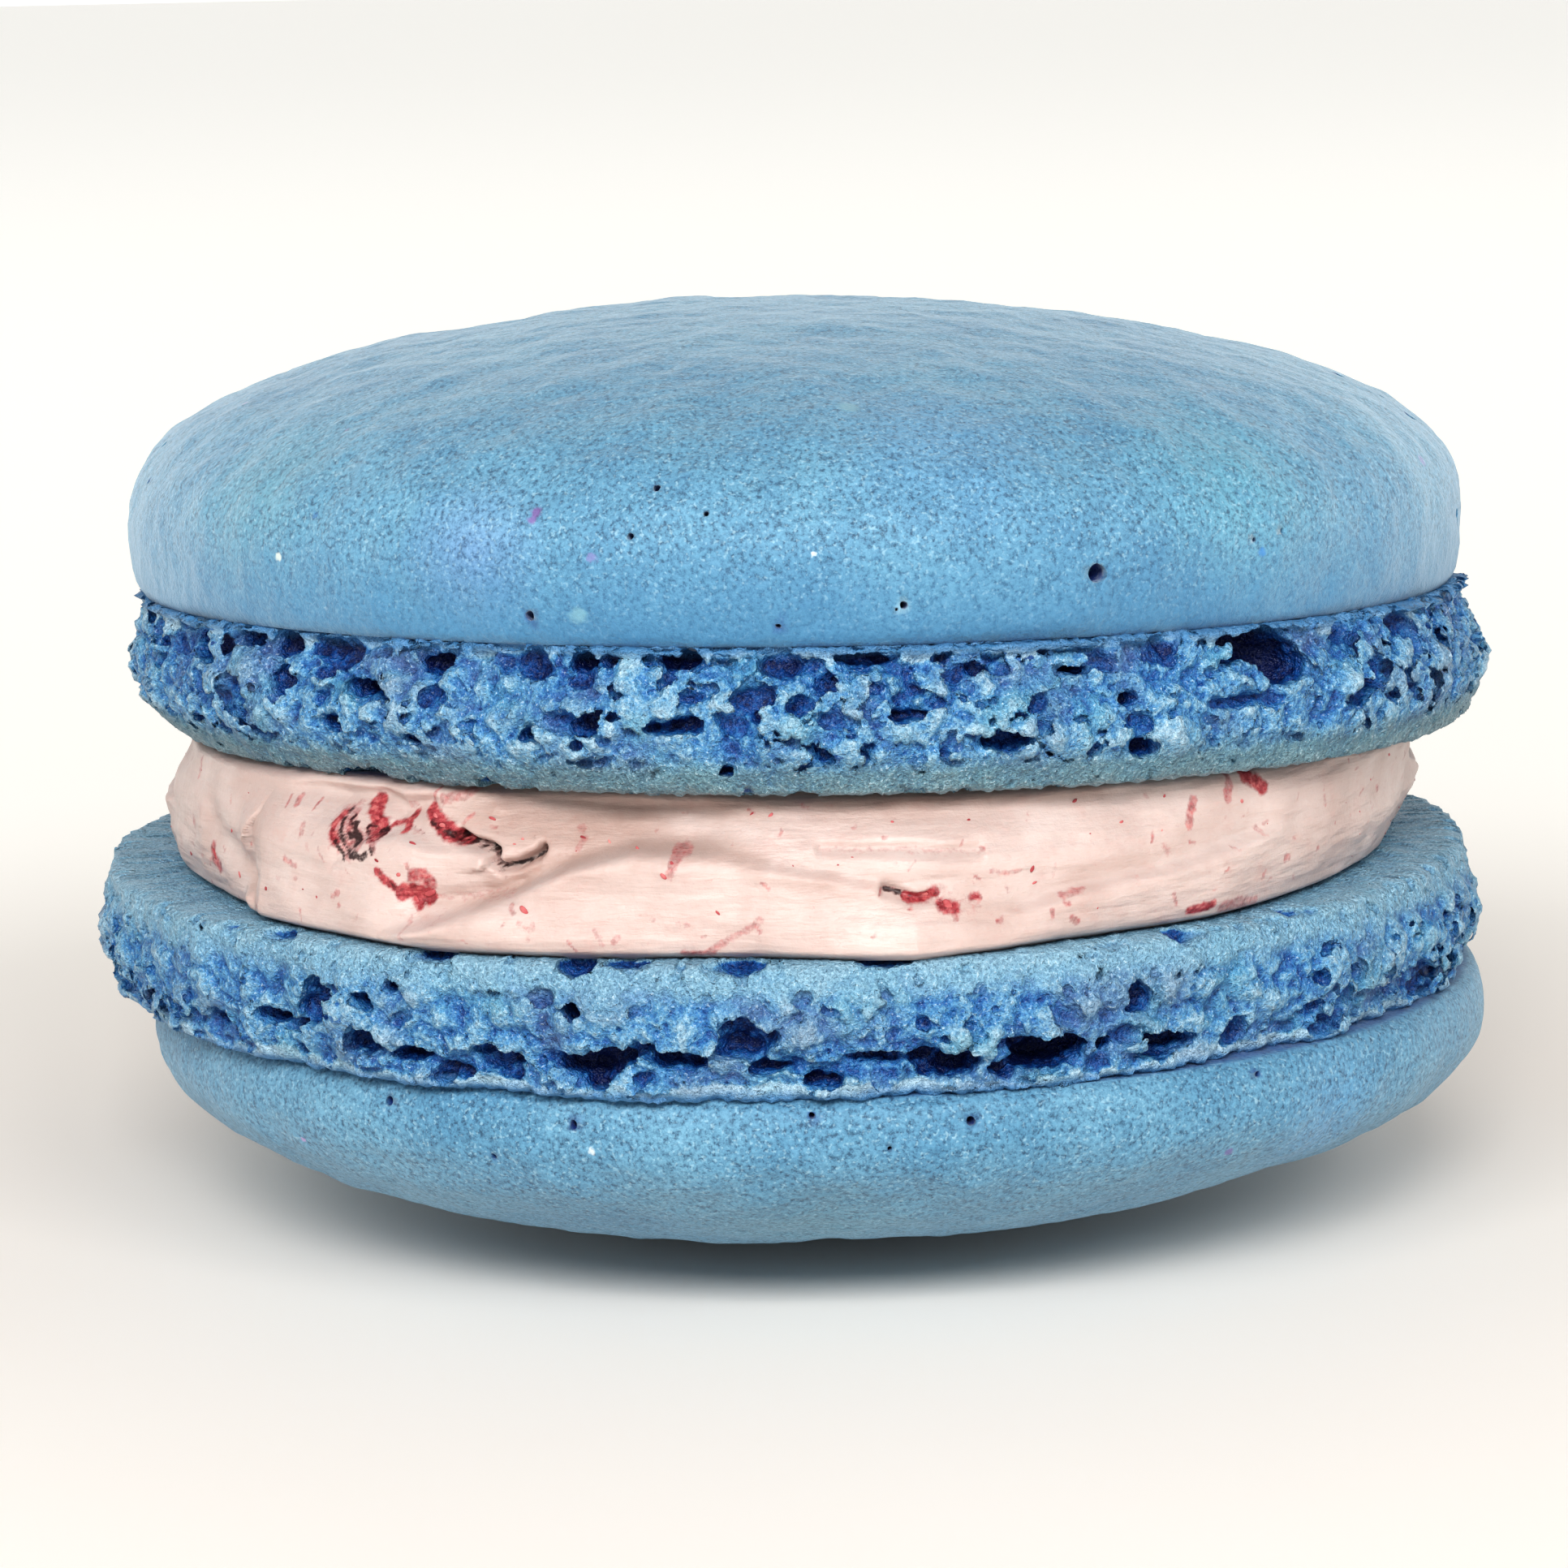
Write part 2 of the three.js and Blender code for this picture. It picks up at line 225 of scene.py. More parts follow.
def dome_outline(shell):
    """From the axis, out under the dome, round its lowest edge and up to its top."""
    dome = shell["dome"]
    foot = shell["foot_height"]
    tucked = dome["radius"] - dome["curl"] - GROOVE_DEPTH
    points = [(0, foot - DOME_UNDERSIDE[0][1])]
    points += [(tucked - inwards, foot - down) for inwards, down in DOME_UNDERSIDE]
    for ring in range(CURL_RINGS):
        angle = math.pi / 2 * ring / (CURL_RINGS - 1)
        radius = dome["radius"] - dome["curl"] * (1 - math.sin(angle))
        rise = DOME_LIP + (dome["widest_at"] - DOME_LIP) * (1 - math.cos(angle))
        points.append((radius, foot + rise))
    for ring in range(1, DOME_RINGS + 1):
        angle = math.pi / 2 * ring / DOME_RINGS
        radius = dome["radius"] * max(math.cos(angle), 0) ** (2 / dome["round"])
        rise = (dome["height"] - dome["widest_at"]) * math.sin(angle) ** (2 / dome["rise"])
        points.append((radius, foot + dome["widest_at"] + rise))
    return points


def apply_modifiers(piece):
    """Makes the result of a piece's modifiers its mesh."""
    graph = bpy.context.evaluated_depsgraph_get()
    mesh = bpy.data.meshes.new_from_object(piece.evaluated_get(graph))
    piece.modifiers.clear()
    piece.data = mesh
    return piece


def spun(points, steps, name):
    """A closed piece: the half outline turned once about the axis, its poles merged."""
    mesh = bpy.data.meshes.new(name)
    edges = [(i, i + 1) for i in range(len(points) - 1)]
    mesh.from_pydata([(radius, 0, height) for radius, height in points], edges, [])
    made = new_object(name, mesh)
    turn = made.modifiers.new("turn", "SCREW")
    turn.steps = turn.render_steps = steps
    turn.use_merge_vertices = True
    turn.merge_threshold = 1e-4
    turn.use_normal_calculate = True
    return apply_modifiers(made)


print("The outlines have", len(foot_outline(UPPER)), "and", len(dome_outline(UPPER)), "points")

# %% [markdown]
# # Uneven as baked
# No shell is quite round. The foot swells in and out in clumps of crumb, and the dome has shallow dents
# where the batter settled. Sculpting would do it by hand; here random lumps of stated sizes push the
# points, and the same seed gives the same shell each time. Soft lumps suit the dome. The clumps of the
# foot are round with creases between them, which is what the cells of a Worley pattern look like.

# %% Grains with creases between them
# Large uneven numbers that scatter the middle of each cell. They have no meaning of their own.
CELL_SPREAD = np.array([[127.1, 269.5, 113.5], [311.7, 183.3, 271.9], [74.7, 246.1, 124.6]])
CELL_SCATTER = 43758.5453
CELL_SEED_STEP = 17.3
FARTHEST = 9.0
CREASE_WIDTH = 1.6


def grains(points, size, seed):
    """1 in the middle of each grain of a size in millimetres, and 0 in the creases between grains."""
    spots = points / size + CELL_SEED_STEP * seed
    cells = np.floor(spots)
    nearest = np.full(len(points), FARTHEST)
    second = nearest.copy()
    for step in itertools.product((-1, 0, 1), repeat=3):
        cell = cells + step
        centre = cell + np.abs(np.modf(np.sin(cell @ CELL_SPREAD) * CELL_SCATTER)[0])
        gap = np.linalg.norm(spots - centre, axis=1)
        second = np.minimum(second, np.maximum(nearest, gap))
        nearest = np.minimum(nearest, gap)
    return np.sqrt(np.clip(CREASE_WIDTH * (second - nearest), 0, 1))


# %% Push the foot and the dome
# Each pair: the size of the lumps and how far they push, in millimetres.
FOOT_SWELLS = (5.0, 0.5)
FOOT_LUMPS = ((1.7, 0.30), (0.7, 0.12))
FOOT_CLUMPS = ((1.15, 0.34), (0.6, 0.16))
DOME_LUMPS = ((9.0, 0.20), (3.2, 0.12), (1.3, 0.085), (0.6, 0.04))
# Only the side of the foot, beyond this radius, is pushed.
SIDE_RADIUS = 21.02
CLUMP_MEAN = 0.7
# Where the smooth rim turns into crumb, as shares of the foot's height.
RIM_ZONE = (0.12, 0.4)
# The dome swells away from this depth below the seam, and is calm for this height above it.
DOME_MIDDLE = 14
CALM_HEIGHT = 0.6
# Within this radius the shift off the axis fades out, so that the middle stays where it is.
SHIFT_FROM = 15


def push_foot(shell, piece):
    """Pushes the side of the foot in and out, then shifts it off the axis."""
    points = read_points(piece.data)
    seed = shell["seed"]
    radius = np.hypot(points[:, 0], points[:, 1])
    side = radius > SIDE_RADIUS
    share = points[side, 2] / shell["foot_height"]
    size, depth = FOOT_SWELLS
    push = depth * lumps(points[side], size, seed)
    push += sum(depth * lumps(points[side], size, seed + i) for i, (size, depth) in enumerate(FOOT_LUMPS, 1))
    push += sum(depth * (grains(points[side], size, seed) - CLUMP_MEAN) for size, depth in FOOT_CLUMPS)
    strength = shell["smooth_rim"] + (1 - shell["smooth_rim"]) * smoothstep(share, *RIM_ZONE)
    points[side, :2] *= (1 + strength * push / radius[side])[:, None]
    points[:, 0] += along_foot(shell, "foot_shift", points[:, 2]) * smoothstep(radius, 0, SHIFT_FROM)
    write_points(piece.data, points)


def push_dome(shell, piece):
    """Pushes the dome's skin in and out along the line from the middle, then shifts it off the axis."""
    points = read_points(piece.data)
    foot = shell["foot_height"]
    radius = np.hypot(points[:, 0], points[:, 1])
    skin = points[:, 2] > foot + 0.01
    lumpy = enumerate(DOME_LUMPS, shell["seed"])
    push = sum(depth * lumps(points[skin], size, seed) for seed, (size, depth) in lumpy)
    push *= smoothstep(points[skin, 2], foot, foot + CALM_HEIGHT)
    outwards = points[skin] - np.array([0, 0, foot - DOME_MIDDLE])
    outwards /= np.linalg.norm(outwards, axis=1)[:, None]
    points[skin] += outwards * push[:, None]
    points[:, 0] += shell["dome_shift"] * smoothstep(radius, 0, SHIFT_FROM)
    write_points(piece.data, points)


# %% [markdown]
# # The foam of the foot
# While a shell bakes, its skin is already dry and the batter below it rises out at the side. The
# bubbles in it burst, and what is left is a sponge: small holes everywhere, and long torn ones near
# the seam. A bump in the material can't have undercuts or a broken edge. So a cloud of bubbles is made
# as a mesh, one ball for each, and cut out of the foot with a Boolean. The balls overlap, which a
# Boolean can't take, and a voxel remesh first melts them into one surface.

# %% Bubbles that can be told apart in the photo
# Each hole: its turn, its drop below the seam, and how wide, tall and deep it is.
UPPER["holes"] = (
    (-51.7, 0.25, 1.5, 0.7, 0.8), (-46.7, 0.35, 1.1, 0.9, 1.0), (-42.5, 0.55, 1.2, 0.8, 0.9),
    (-10, 0.4, 0.9, 0.7, 1.1), (4.1, 0.3, 1.6, 0.4, 0.8), (35.5, 2.2, 2.2, 0.35, 0.6),
    (40.9, 0.9, 2.4, 1.5, 1.7), (37.2, 0.7, 1.8, 1.0, 1.1), (-56.9, 0.8, 1.8, 0.9, 1.0),
    (-46.5, 1.6, 1.2, 0.8, 1.0), (-40.5, 2.7, 0.6, 0.5, 0.8), (-37.0, 1.5, 1.1, 0.6, 1.0),
    (-32.5, 2.9, 0.6, 0.3, 0.8), (-29.9, 0.7, 1.1, 0.6, 1.1), (-21.9, 2.6, 0.6, 0.4, 0.8),
    (-17.5, 0.5, 0.9, 0.5, 1.0), (-17.9, 2.8, 0.4, 0.3, 0.7), (-10.1, 2.2, 1.4, 0.6, 0.9),
    (-7.2, 3.6, 0.5, 0.3, 0.7), (-3.9, 2.0, 0.4, 0.4, 0.8), (7.5, 2.0, 1.0, 0.4, 0.8),
    (14.4, 2.8, 1.2, 0.6, 0.8), (20.6, 0.9, 0.8, 0.4, 0.9), (24.9, 1.9, 0.5, 0.5, 0.8),
    (25.9, 3.3, 1.0, 0.4, 0.8), (55.0, 2.6, 0.6, 0.6, 0.7),
)
LOWER["holes"] = (
    (-39.2, 2.2, 1.4, 1.3, 1.2), (-35.1, 1.3, 1.3, 0.8, 1.1), (-24.3, 1.1, 1.6, 0.8, 1.2),
    (-15.9, 1.1, 2.0, 0.9, 1.3), (-3.5, 2.2, 1.2, 0.8, 1.0), (19.3, 1.2, 2.6, 1.0, 1.7),
    (27.6, 2.5, 0.8, 0.7, 0.9), (29.5, 0.9, 1.7, 0.8, 1.2), (-16.3, 2.8, 0.65, 0.65, 0.8),
    (-52.7, 1.2, 1.0, 0.5, 0.9), (-44.4, 2.5, 0.35, 0.4, 0.7), (-43.2, 1.45, 1.3, 0.7, 1.1),
    (-42.7, 0.6, 0.7, 0.45, 0.9), (-34.5, 2.65, 0.7, 0.5, 0.8), (-31.6, 3.1, 0.6, 0.3, 0.7),
    (-31.2, 1.1, 1.3, 0.5, 1.0), (-27.6, 0.6, 1.1, 0.5, 1.0), (-22.2, 0.6, 0.6, 0.4, 0.9),
    (-15.0, 0.5, 0.7, 0.4, 0.9), (-11.4, 1.7, 1.0, 0.4, 1.0), (-9.0, 1.3, 1.2, 0.7, 1.1),
    (-3.9, 1.6, 1.6, 0.9, 1.2), (-1.0, 1.1, 1.2, 0.4, 1.0), (2.1, 0.7, 0.9, 0.5, 0.9),
    (6.2, 1.4, 1.5, 0.5, 1.0), (11.1, 1.0, 1.7, 0.8, 1.2), (15.9, 0.7, 0.7, 0.5, 0.9),
    (24.2, 1.3, 0.5, 0.4, 0.9),
)
# Gaps in the line of the seam: turn, width and height.
UPPER["seam_gaps"] = (
    (-41, 2.4, 0.9), (-39, 1.2, 1.2), (-28, 1.0, 1.1), (-24.5, 0.6, 0.4), (-13, 0.5, 0.2),
    (-1.8, 0.9, 0.5), (4, 0.4, 0.2), (11, 0.5, 0.3), (18, 0.9, 0.2), (46, 0.8, 0.3),
)
LOWER["seam_gaps"] = (
    (-44, 1.2, 0.5), (-28, 1.6, 0.6), (-16, 1.3, 1.0), (-12, 1.5, 0.4), (-3.4, 1.7, 0.8),
    (7.5, 1.9, 0.5), (32, 1.1, 0.9), (44, 1.0, 0.4),
)
# Each pin hole in the skin: its turn, its rise above the seam and its width.
UPPER["pinholes"] = (
    (23.3, 1.91, 0.62), (7.9, 1.2, 0.24), (7.3, 1.05, 0.13), (-21.2, 0.84, 0.34), (-12.9, 3.21, 0.24),
    (-11.3, 4.53, 0.2), (38.4, 2.54, 0.2), (41.3, 2.71, 0.2), (-7.2, 3.85, 0.18), (-1.7, 0.65, 0.18),
)
LOWER["pinholes"] = (
    (-19.7, 0.81, 0.26), (11.1, 0.73, 0.3), (-1.0, 0.4, 0.22), (4.8, 1.42, 0.16), (-36.3, 0.65, 0.28),
    (-26.8, 1.97, 0.18), (36.2, 0.4, 0.22),
)

# %% A cloud of bubbles
# Each sort: how many, smallest and largest radius, range of the drop from the seam as a share of the
# foot, how much they crowd towards the seam, and how long and how low they may be. "smooth_rim" is
# how much of the lumps the rim keeps.
UPPER["smooth_rim"] = 0.25
UPPER["bubbles"] = (
    (260, (0.10, 0.36), (-0.01, 0.09), 1.0, 1.5, 0.8),
    (2700, (0.09, 0.20), (0.0, 0.80), 1.0, 1.3, 0.8),
    (700, (0.18, 0.34), (0.02, 0.74), 1.1, 1.5, 0.7),
    (110, (0.34, 0.62), (0.08, 0.60), 1.1, 1.7, 0.6),
    (190, (0.10, 0.24), (0.74, 0.79), 1.0, 1.8, 0.6),
    (260, (0.06, 0.13), (0.80, 1.0), 1.0, 1.2, 0.8),
)
LOWER["smooth_rim"] = 0.4
LOWER["bubbles"] = (
    (220, (0.10, 0.32), (-0.01, 0.08), 1.0, 1.6, 0.8),
    (2000, (0.09, 0.19), (0.04, 0.95), 1.25, 1.3, 0.8),
    (520, (0.18, 0.34), (0.06, 0.78), 1.6, 1.5, 0.7),
    (90, (0.34, 0.60), (0.14, 0.55), 1.5, 1.9, 0.55),
    (170, (0.28, 0.46), (0.17, 0.31), 1.0, 2.0, 0.6),
)
# A power over 1 makes most bubbles small. Their middles lie these shares of their size below the surface.
FAVOUR_SMALL = 1.7
BUBBLE_SINK = (-0.1, 0.9)
BUBBLE_TILT = 0.35
BALLS_PER_HOLE = 6
BALL_SHARE = (0.5, 0.9)
HOLE_SINK = 0.4
# How far the balls of a hole lie apart, as shares of its height and its width.
BALL_SCATTER = (0.16, 0.22)
FOOT_MM_PER_DEGREE = 0.4
GAP_SINK = 0.3
GAP_HALF_DEPTH = 0.9
RANDOM_GAPS = 70
RANDOM_GAP_HALF_DEPTH = 0.6
GAP_HALF_WIDTH = (0.12, 0.45)
GAP_HALF_HEIGHT = (0.08, 0.3)
PINHOLE_SINK = 0.05
PINHOLE_HALF_DEPTH = 0.9
# Random pin holes are only for the sides and the back, which the photo doesn't show.
RANDOM_PINHOLES = 40
HIDDEN_TURNS = (75, 285)
HIDDEN_RISES = (0.5, 7)
RANDOM_PINHOLE_RADIUS = (0.07, 0.17)
RANDOM_PINHOLE_HALF_DEPTH = 0.35
FOAM_VOXEL = 0.11
PINHOLE_VOXEL = 0.04
BALL_DETAIL = 2


def facing_out(shell, turn, radius, shift, height):
    """The place of a piece at the side of a shell, and its turn to face outwards there."""
    angle = math.radians(180 - turn if shell["turned_over"] else turn)
    place = Vector((math.sin(angle) * radius + shift, -math.cos(angle) * radius, height))
    return Matrix.Translation(place) @ Matrix.Rotation(angle, 4, "Z")


def on_the_foot(shell, turn, drop, sink):
    """A place a little below the foot's surface, at a drop below the seam."""
    height = shell["foot_height"] - drop
    radius = float(along_foot(shell, "foot_radius", height)) - sink
    return facing_out(shell, turn, radius, float(along_foot(shell, "foot_shift", height)), height)


def on_the_dome(shell, turn, rise, sink=0.0):
    """The same on the dome, at a rise above the seam, tipped as the skin is there."""
    dome = shell["dome"]
    share = max(rise - dome["widest_at"], 0) / (dome["height"] - dome["widest_at"])
    slope = math.asin(min(share ** (dome["rise"] / 2), 1))
    radius = dome["radius"] * math.cos(slope) ** (2 / dome["round"]) - sink * math.cos(slope)
    height = shell["foot_height"] + rise - sink * math.sin(slope)
    return facing_out(shell, turn, radius, shell["dome_shift"], height) @ Matrix.Rotation(-slope, 4, "X")


def foam_places(shell):
    """A matrix for each bubble of the foot, made for a ball of radius 1."""
    rng = random.Random(shell["seed"])
    foot = shell["foot_height"]
    places = []
    for count, (smallest, largest), (start, end), crowd, longest, lowest in shell["bubbles"]:
        for _ in range(count):
            size = smallest + (largest - smallest) * rng.random() ** FAVOUR_SMALL
            drop = foot * (start + (end - start) * rng.random() ** crowd)
            spot = on_the_foot(shell, rng.uniform(0, 360), drop, size * rng.uniform(*BUBBLE_SINK))
            tilt = Matrix.Rotation(rng.gauss(0, BUBBLE_TILT), 4, "Y")
            long = size * rng.uniform(1, longest)
            tall = size * rng.uniform(lowest, 1)
            places.append(spot @ tilt @ Matrix.Diagonal((long, size, tall, 1)))
    up_scatter, side_scatter = BALL_SCATTER
    for turn, drop, wide, tall, deep in shell["holes"]:
        for _ in range(BALLS_PER_HOLE):
            ball_drop = drop + rng.gauss(0, up_scatter) * tall
            ball_turn = turn + rng.gauss(0, side_scatter) * wide / FOOT_MM_PER_DEGREE
            spot = on_the_foot(shell, ball_turn, ball_drop, HOLE_SINK * deep)
            half = Vector((wide / 2, deep, tall / 2)) * rng.uniform(*BALL_SHARE)
            places.append(spot @ Matrix.Diagonal((*half, 1)))
    for turn, wide, tall in shell["seam_gaps"]:
        form = Matrix.Diagonal((wide / 2, GAP_HALF_DEPTH, tall / 2, 1))
        places.append(on_the_foot(shell, turn, foot, GAP_SINK) @ form)
    for _ in range(RANDOM_GAPS):
        spot = on_the_foot(shell, rng.uniform(0, 360), foot, 0.0)
        half_width = rng.uniform(*GAP_HALF_WIDTH)
        half_height = rng.uniform(*GAP_HALF_HEIGHT)
        places.append(spot @ Matrix.Diagonal((half_width, RANDOM_GAP_HALF_DEPTH, half_height, 1)))
    return places


def pinhole_places(shell):
    """The same for the small holes in the dome's skin."""
    rng = random.Random(shell["seed"] + 1)
    places = []
    for turn, rise, wide in shell["pinholes"]:
        form = Matrix.Diagonal((wide / 2, PINHOLE_HALF_DEPTH, wide / 2, 1))
        places.append(on_the_dome(shell, turn, rise, PINHOLE_SINK) @ form)
    for _ in range(RANDOM_PINHOLES):
        spot = on_the_dome(shell, rng.uniform(*HIDDEN_TURNS), rng.uniform(*HIDDEN_RISES), PINHOLE_SINK)
        size = rng.uniform(*RANDOM_PINHOLE_RADIUS)
        places.append(spot @ Matrix.Diagonal((size, RANDOM_PINHOLE_HALF_DEPTH, size, 1)))
    return places


def balls(places, detail, name):
    """One mesh with a ball of radius 1 put at each of the places."""
    ball = bmesh.new()
    bmesh.ops.create_icosphere(ball, subdivisions=detail, radius=1)
    corners = np.array([vert.co for vert in ball.verts])
    faces = np.array([[vert.index for vert in face.verts] for face in ball.faces])
    ball.free()
    places = np.array(places)
    points = corners @ places[:, :3, :3].transpose(0, 2, 1) + places[:, None, :3, 3]
    first = np.arange(len(places))[:, None, None] * len(corners)
    mesh = bpy.data.meshes.new(name)
    mesh.from_pydata(points.reshape(-1, 3), [], (faces[None] + first).reshape(-1, 3).tolist())
    return new_object(name, mesh)


ROUGH_LUMPS = 0.4
ROUGH_SEED = 3


def melted_balls(places, voxel, rough):
    """Balls melted into one closed surface, and made uneven."""
    cloud = balls(places, BALL_DETAIL, "bubbles")
    melt = cloud.modifiers.new("melt", "REMESH")
    melt.mode = "VOXEL"
    melt.voxel_size = voxel
    apply_modifiers(cloud)
    points = read_points(cloud.data)
    for axis in range(3):
        points[:, axis] += rough * lumps(points, ROUGH_LUMPS, ROUGH_SEED + axis)
    write_points(cloud.data, points)
    return cloud


# %% Cut the bubbles out
def keep_largest(mesh):
    """Deletes what the cut left loose, such as a crumb that hangs in the air."""
    form = bmesh.new()
    form.from_mesh(mesh)
    unseen = set(form.verts)
    islands = []
    while unseen:
        island = {unseen.pop()}
        front = list(island)
        while front:
            near = {edge.other_vert(vert) for vert in front for edge in vert.link_edges} & unseen
            unseen -= near
            island |= near
            front = list(near)
        islands.append(island)
    islands.sort(key=len)
    loose = [vert for island in islands[:-1] for vert in island]
    bmesh.ops.delete(form, geom=loose, context="VERTS")
    bmesh.ops.dissolve_degenerate(form, dist=1e-4, edges=form.edges)
    bmesh.ops.triangulate(form, faces=form.faces)
    form.to_mesh(mesh)
    form.free()


MOST_TRIANGLES = 190000


def cut_out(piece, cloud):
    """Cuts a melted cloud of bubbles out of a piece."""
    cut = piece.modifiers.new("cut", "BOOLEAN")
    cut.operation = "DIFFERENCE"
    cut.solver = "MANIFOLD"
    cut.object = cloud
    apply_modifiers(piece)
    bpy.data.objects.remove(cloud)
    keep_largest(piece.data)


def thin_out(piece):
    """Thins a piece out to about MOST_TRIANGLES triangles, if it has more. Keeps a
    piece under the number of triangles that a piece may have.
    """
    before = len(piece.data.polygons)
    if before > MOST_TRIANGLES:
        thin = piece.modifiers.new("thin", "DECIMATE")
        thin.ratio = MOST_TRIANGLES / before
        apply_modifiers(piece)
    print(piece.name, "went from", before, "to", len(piece.data.polygons), "triangles")


# %% [markdown]
# # Crumbs, and what the material needs to know
# Ground almonds leave grains of a quarter to half a millimetre on everything the bubbles left. They are
# pushed out along the normals. A hole is painted a deeper blue than a crest as painted shade, and a crest
# paler as painted light, and the material can't tell them apart by position. So each point keeps three
# numbers as attributes: how deep it lies under the smooth form, how far it stands out from the points
# round it, and how high up the foot it is.

# %% Grains on the foot
# The size of the grains and how far they stand out.
CRUMBS = ((0.42, 0.10), (0.24, 0.05))
CRUMB_SEED = 40
CRUMB_MEAN = 0.6
CRUMBS_FROM_RADIUS = 19.5


def normals_of(mesh):
    """The direction that each point faces, as an array of rows."""
    flat = np.empty(3 * len(mesh.vertices), np.float32)
    mesh.vertices.foreach_get("normal", flat)
    return flat.reshape(-1, 3).astype(float)


def crumble(piece):
    """Pushes grains out of the side of the foot."""
    points = read_points(piece.data)
    side = np.hypot(points[:, 0], points[:, 1]) > CRUMBS_FROM_RADIUS
    push = sum(depth * (grains(points[side], size, CRUMB_SEED) - CRUMB_MEAN) for size, depth in CRUMBS)
    points[side] += normals_of(piece.data)[side] * push[:, None]
    write_points(piece.data, points)


# %% Measure the foot
SMOOTHING_ROUNDS = 10
FLAT_FACE_BAND = 0.1
DEEPEST = 3


def store(mesh, name, values):
    """Keeps one number for each point on the mesh, where the material finds it by its name."""
    layer = mesh.attributes.new(name, "FLOAT", "POINT")
    layer.data.foreach_set("value", np.asarray(values, np.float32))


def standing_out(mesh):
    """How far each point stands out from a smoothed copy of the surface, negative in a pit."""
    flat = np.empty(2 * len(mesh.edges), np.int32)
    mesh.edges.foreach_get("vertices", flat)
    start, end = flat.reshape(-1, 2).T
    points = read_points(mesh)
    smooth = points.copy()
    count = np.bincount(flat, minlength=len(points))
    for _ in range(SMOOTHING_ROUNDS):
        for axis in range(3):
            near = np.bincount(start, smooth[end, axis], len(points))
            near += np.bincount(end, smooth[start, axis], len(points))
            smooth[:, axis] = near / count
    return ((points - smooth) * normals_of(mesh)).sum(1)


def measure_foot(shell, piece):
    """Stores how deep each point lies, how high up the foot and how far it stands out."""
    points = read_points(piece.data)
    height = points[:, 2]
    from_axis = np.hypot(points[:, 0] - along_foot(shell, "foot_shift", height), points[:, 1])
    size, depth = FOOT_SWELLS
    swell = depth * lumps(points, size, shell["seed"])
    depth = along_foot(shell, "foot_radius", height) + swell - from_axis
    flat = (height < FLAT_FACE_BAND) | (height > shell["foot_height"] - FLAT_FACE_BAND)
    store(piece.data, "depth", np.clip(np.where(flat, 0, depth), 0, DEEPEST))
    store(piece.data, "level", height / shell["foot_height"])
    store(piece.data, "crest", standing_out(piece.data))


# A pin hole is painted near-black blue as shade from just outside the skin inwards, and within a bit more
# than its radius.
PINHOLE_REACH = math.sqrt(0.5)
SKIN_DEPTHS = (-0.1, 0.25)
PINHOLE_MARGIN = 1.25
SEAM_DEPTHS = (-0.02, 0.08)


def measure_dome(shell, piece, places):
    """Marks the painted shade in the pin holes and under the dome's edge, and how far above the seam each
    point lies.
    """
    points = read_points(piece.data)
    inside = np.zeros(len(points))
    for place in places:
        away = points - np.array(place.translation)
        near = np.flatnonzero(np.linalg.norm(away, axis=1) < PINHOLE_REACH)
        local = away[near] @ np.array(place.to_3x3().inverted()).T
        depth = smoothstep(local[:, 1], *SKIN_DEPTHS) * (np.linalg.norm(local, axis=1) < PINHOLE_MARGIN)
        inside[near] = np.maximum(inside[near], depth)
    # The dome's underside below the seam gets the same painted shade.
    inside = np.maximum(inside, smoothstep(shell["foot_height"] - points[:, 2], *SEAM_DEPTHS))
    store(piece.data, "inside", inside)
    store(piece.data, "rise", points[:, 2] - shell["foot_height"])


# %% Make the shells
FOAM_ROUGHNESS = 0.06
PINHOLE_ROUGHNESS = 0.07


def put_in_place(shell, piece):
    """Turns, lifts and scales a finished piece from the shell's own frame to the macaron's."""
    points = read_points(piece.data)
    if shell["turned_over"]:
        points[:, 2] = np.minimum(points[:, 2], shell["face"])
    write_points(piece.data, points)
    turn = Matrix.Rotation(math.radians(shell["lean"]), 4, "Y")
    turn = turn @ Matrix.Rotation(math.radians(shell["nod"]), 4, "X")
    if shell["turned_over"]:
        turn = Matrix.Rotation(math.pi, 4, "X")
    shell["into_place"] = Matrix.Translation(Vector((0, 0, shell["face"])) + CENTRING) @ turn
    piece.data.transform(Matrix.Scale(MM, 4) @ shell["into_place"])
    piece.data.shade_smooth()
    piece.data.update()
    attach(piece, "root")
    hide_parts(shell["node"])


def make_foot(shell):
    """Spun, pushed, holed, crumbled, thinned out, measured and put in its place."""
    piece = spun(foot_outline(shell), FOOT_STEPS, shell["name"] + "_foot")
    push_foot(shell, piece)
    cut_out(piece, melted_balls(foam_places(shell), FOAM_VOXEL, FOAM_ROUGHNESS))
    crumble(piece)
    thin_out(piece)
    measure_foot(shell, piece)
    put_in_place(shell, piece)
    return piece


def make_dome(shell):
    """The same for the dome, whose only holes are pin holes."""
    piece = spun(dome_outline(shell), DOME_STEPS, shell["name"] + "_dome")
    push_dome(shell, piece)
    places = pinhole_places(shell)
    cut_out(piece, melted_balls(places, PINHOLE_VOXEL, PINHOLE_ROUGHNESS))
    thin_out(piece)
    measure_dome(shell, piece, places)
    put_in_place(shell, piece)
    return piece


feet = [make_foot(UPPER), make_foot(LOWER)]
domes = [make_dome(UPPER), make_dome(LOWER)]

# %% [markdown]
# # The form of the cream
# Butter cream holds whatever last touched it. Pressed between two shells it comes out further in one
# place than in another, its lips turn in, and the strokes of the palette knife stay as folds and
# cracks. It starts as a spun outline like the shells. Three radii for some turns say how far it comes
# out below, halfway and above. Each stroke is then a path round the side, and the points near a path
# move in or out. That keeps every fold where the photo shows it, which random noise alone couldn't.

# %% Sizes of the cream
CREAM_RADIUS = 21.0
CREAM_STEPS = 1440
CREAM_RINGS = 60
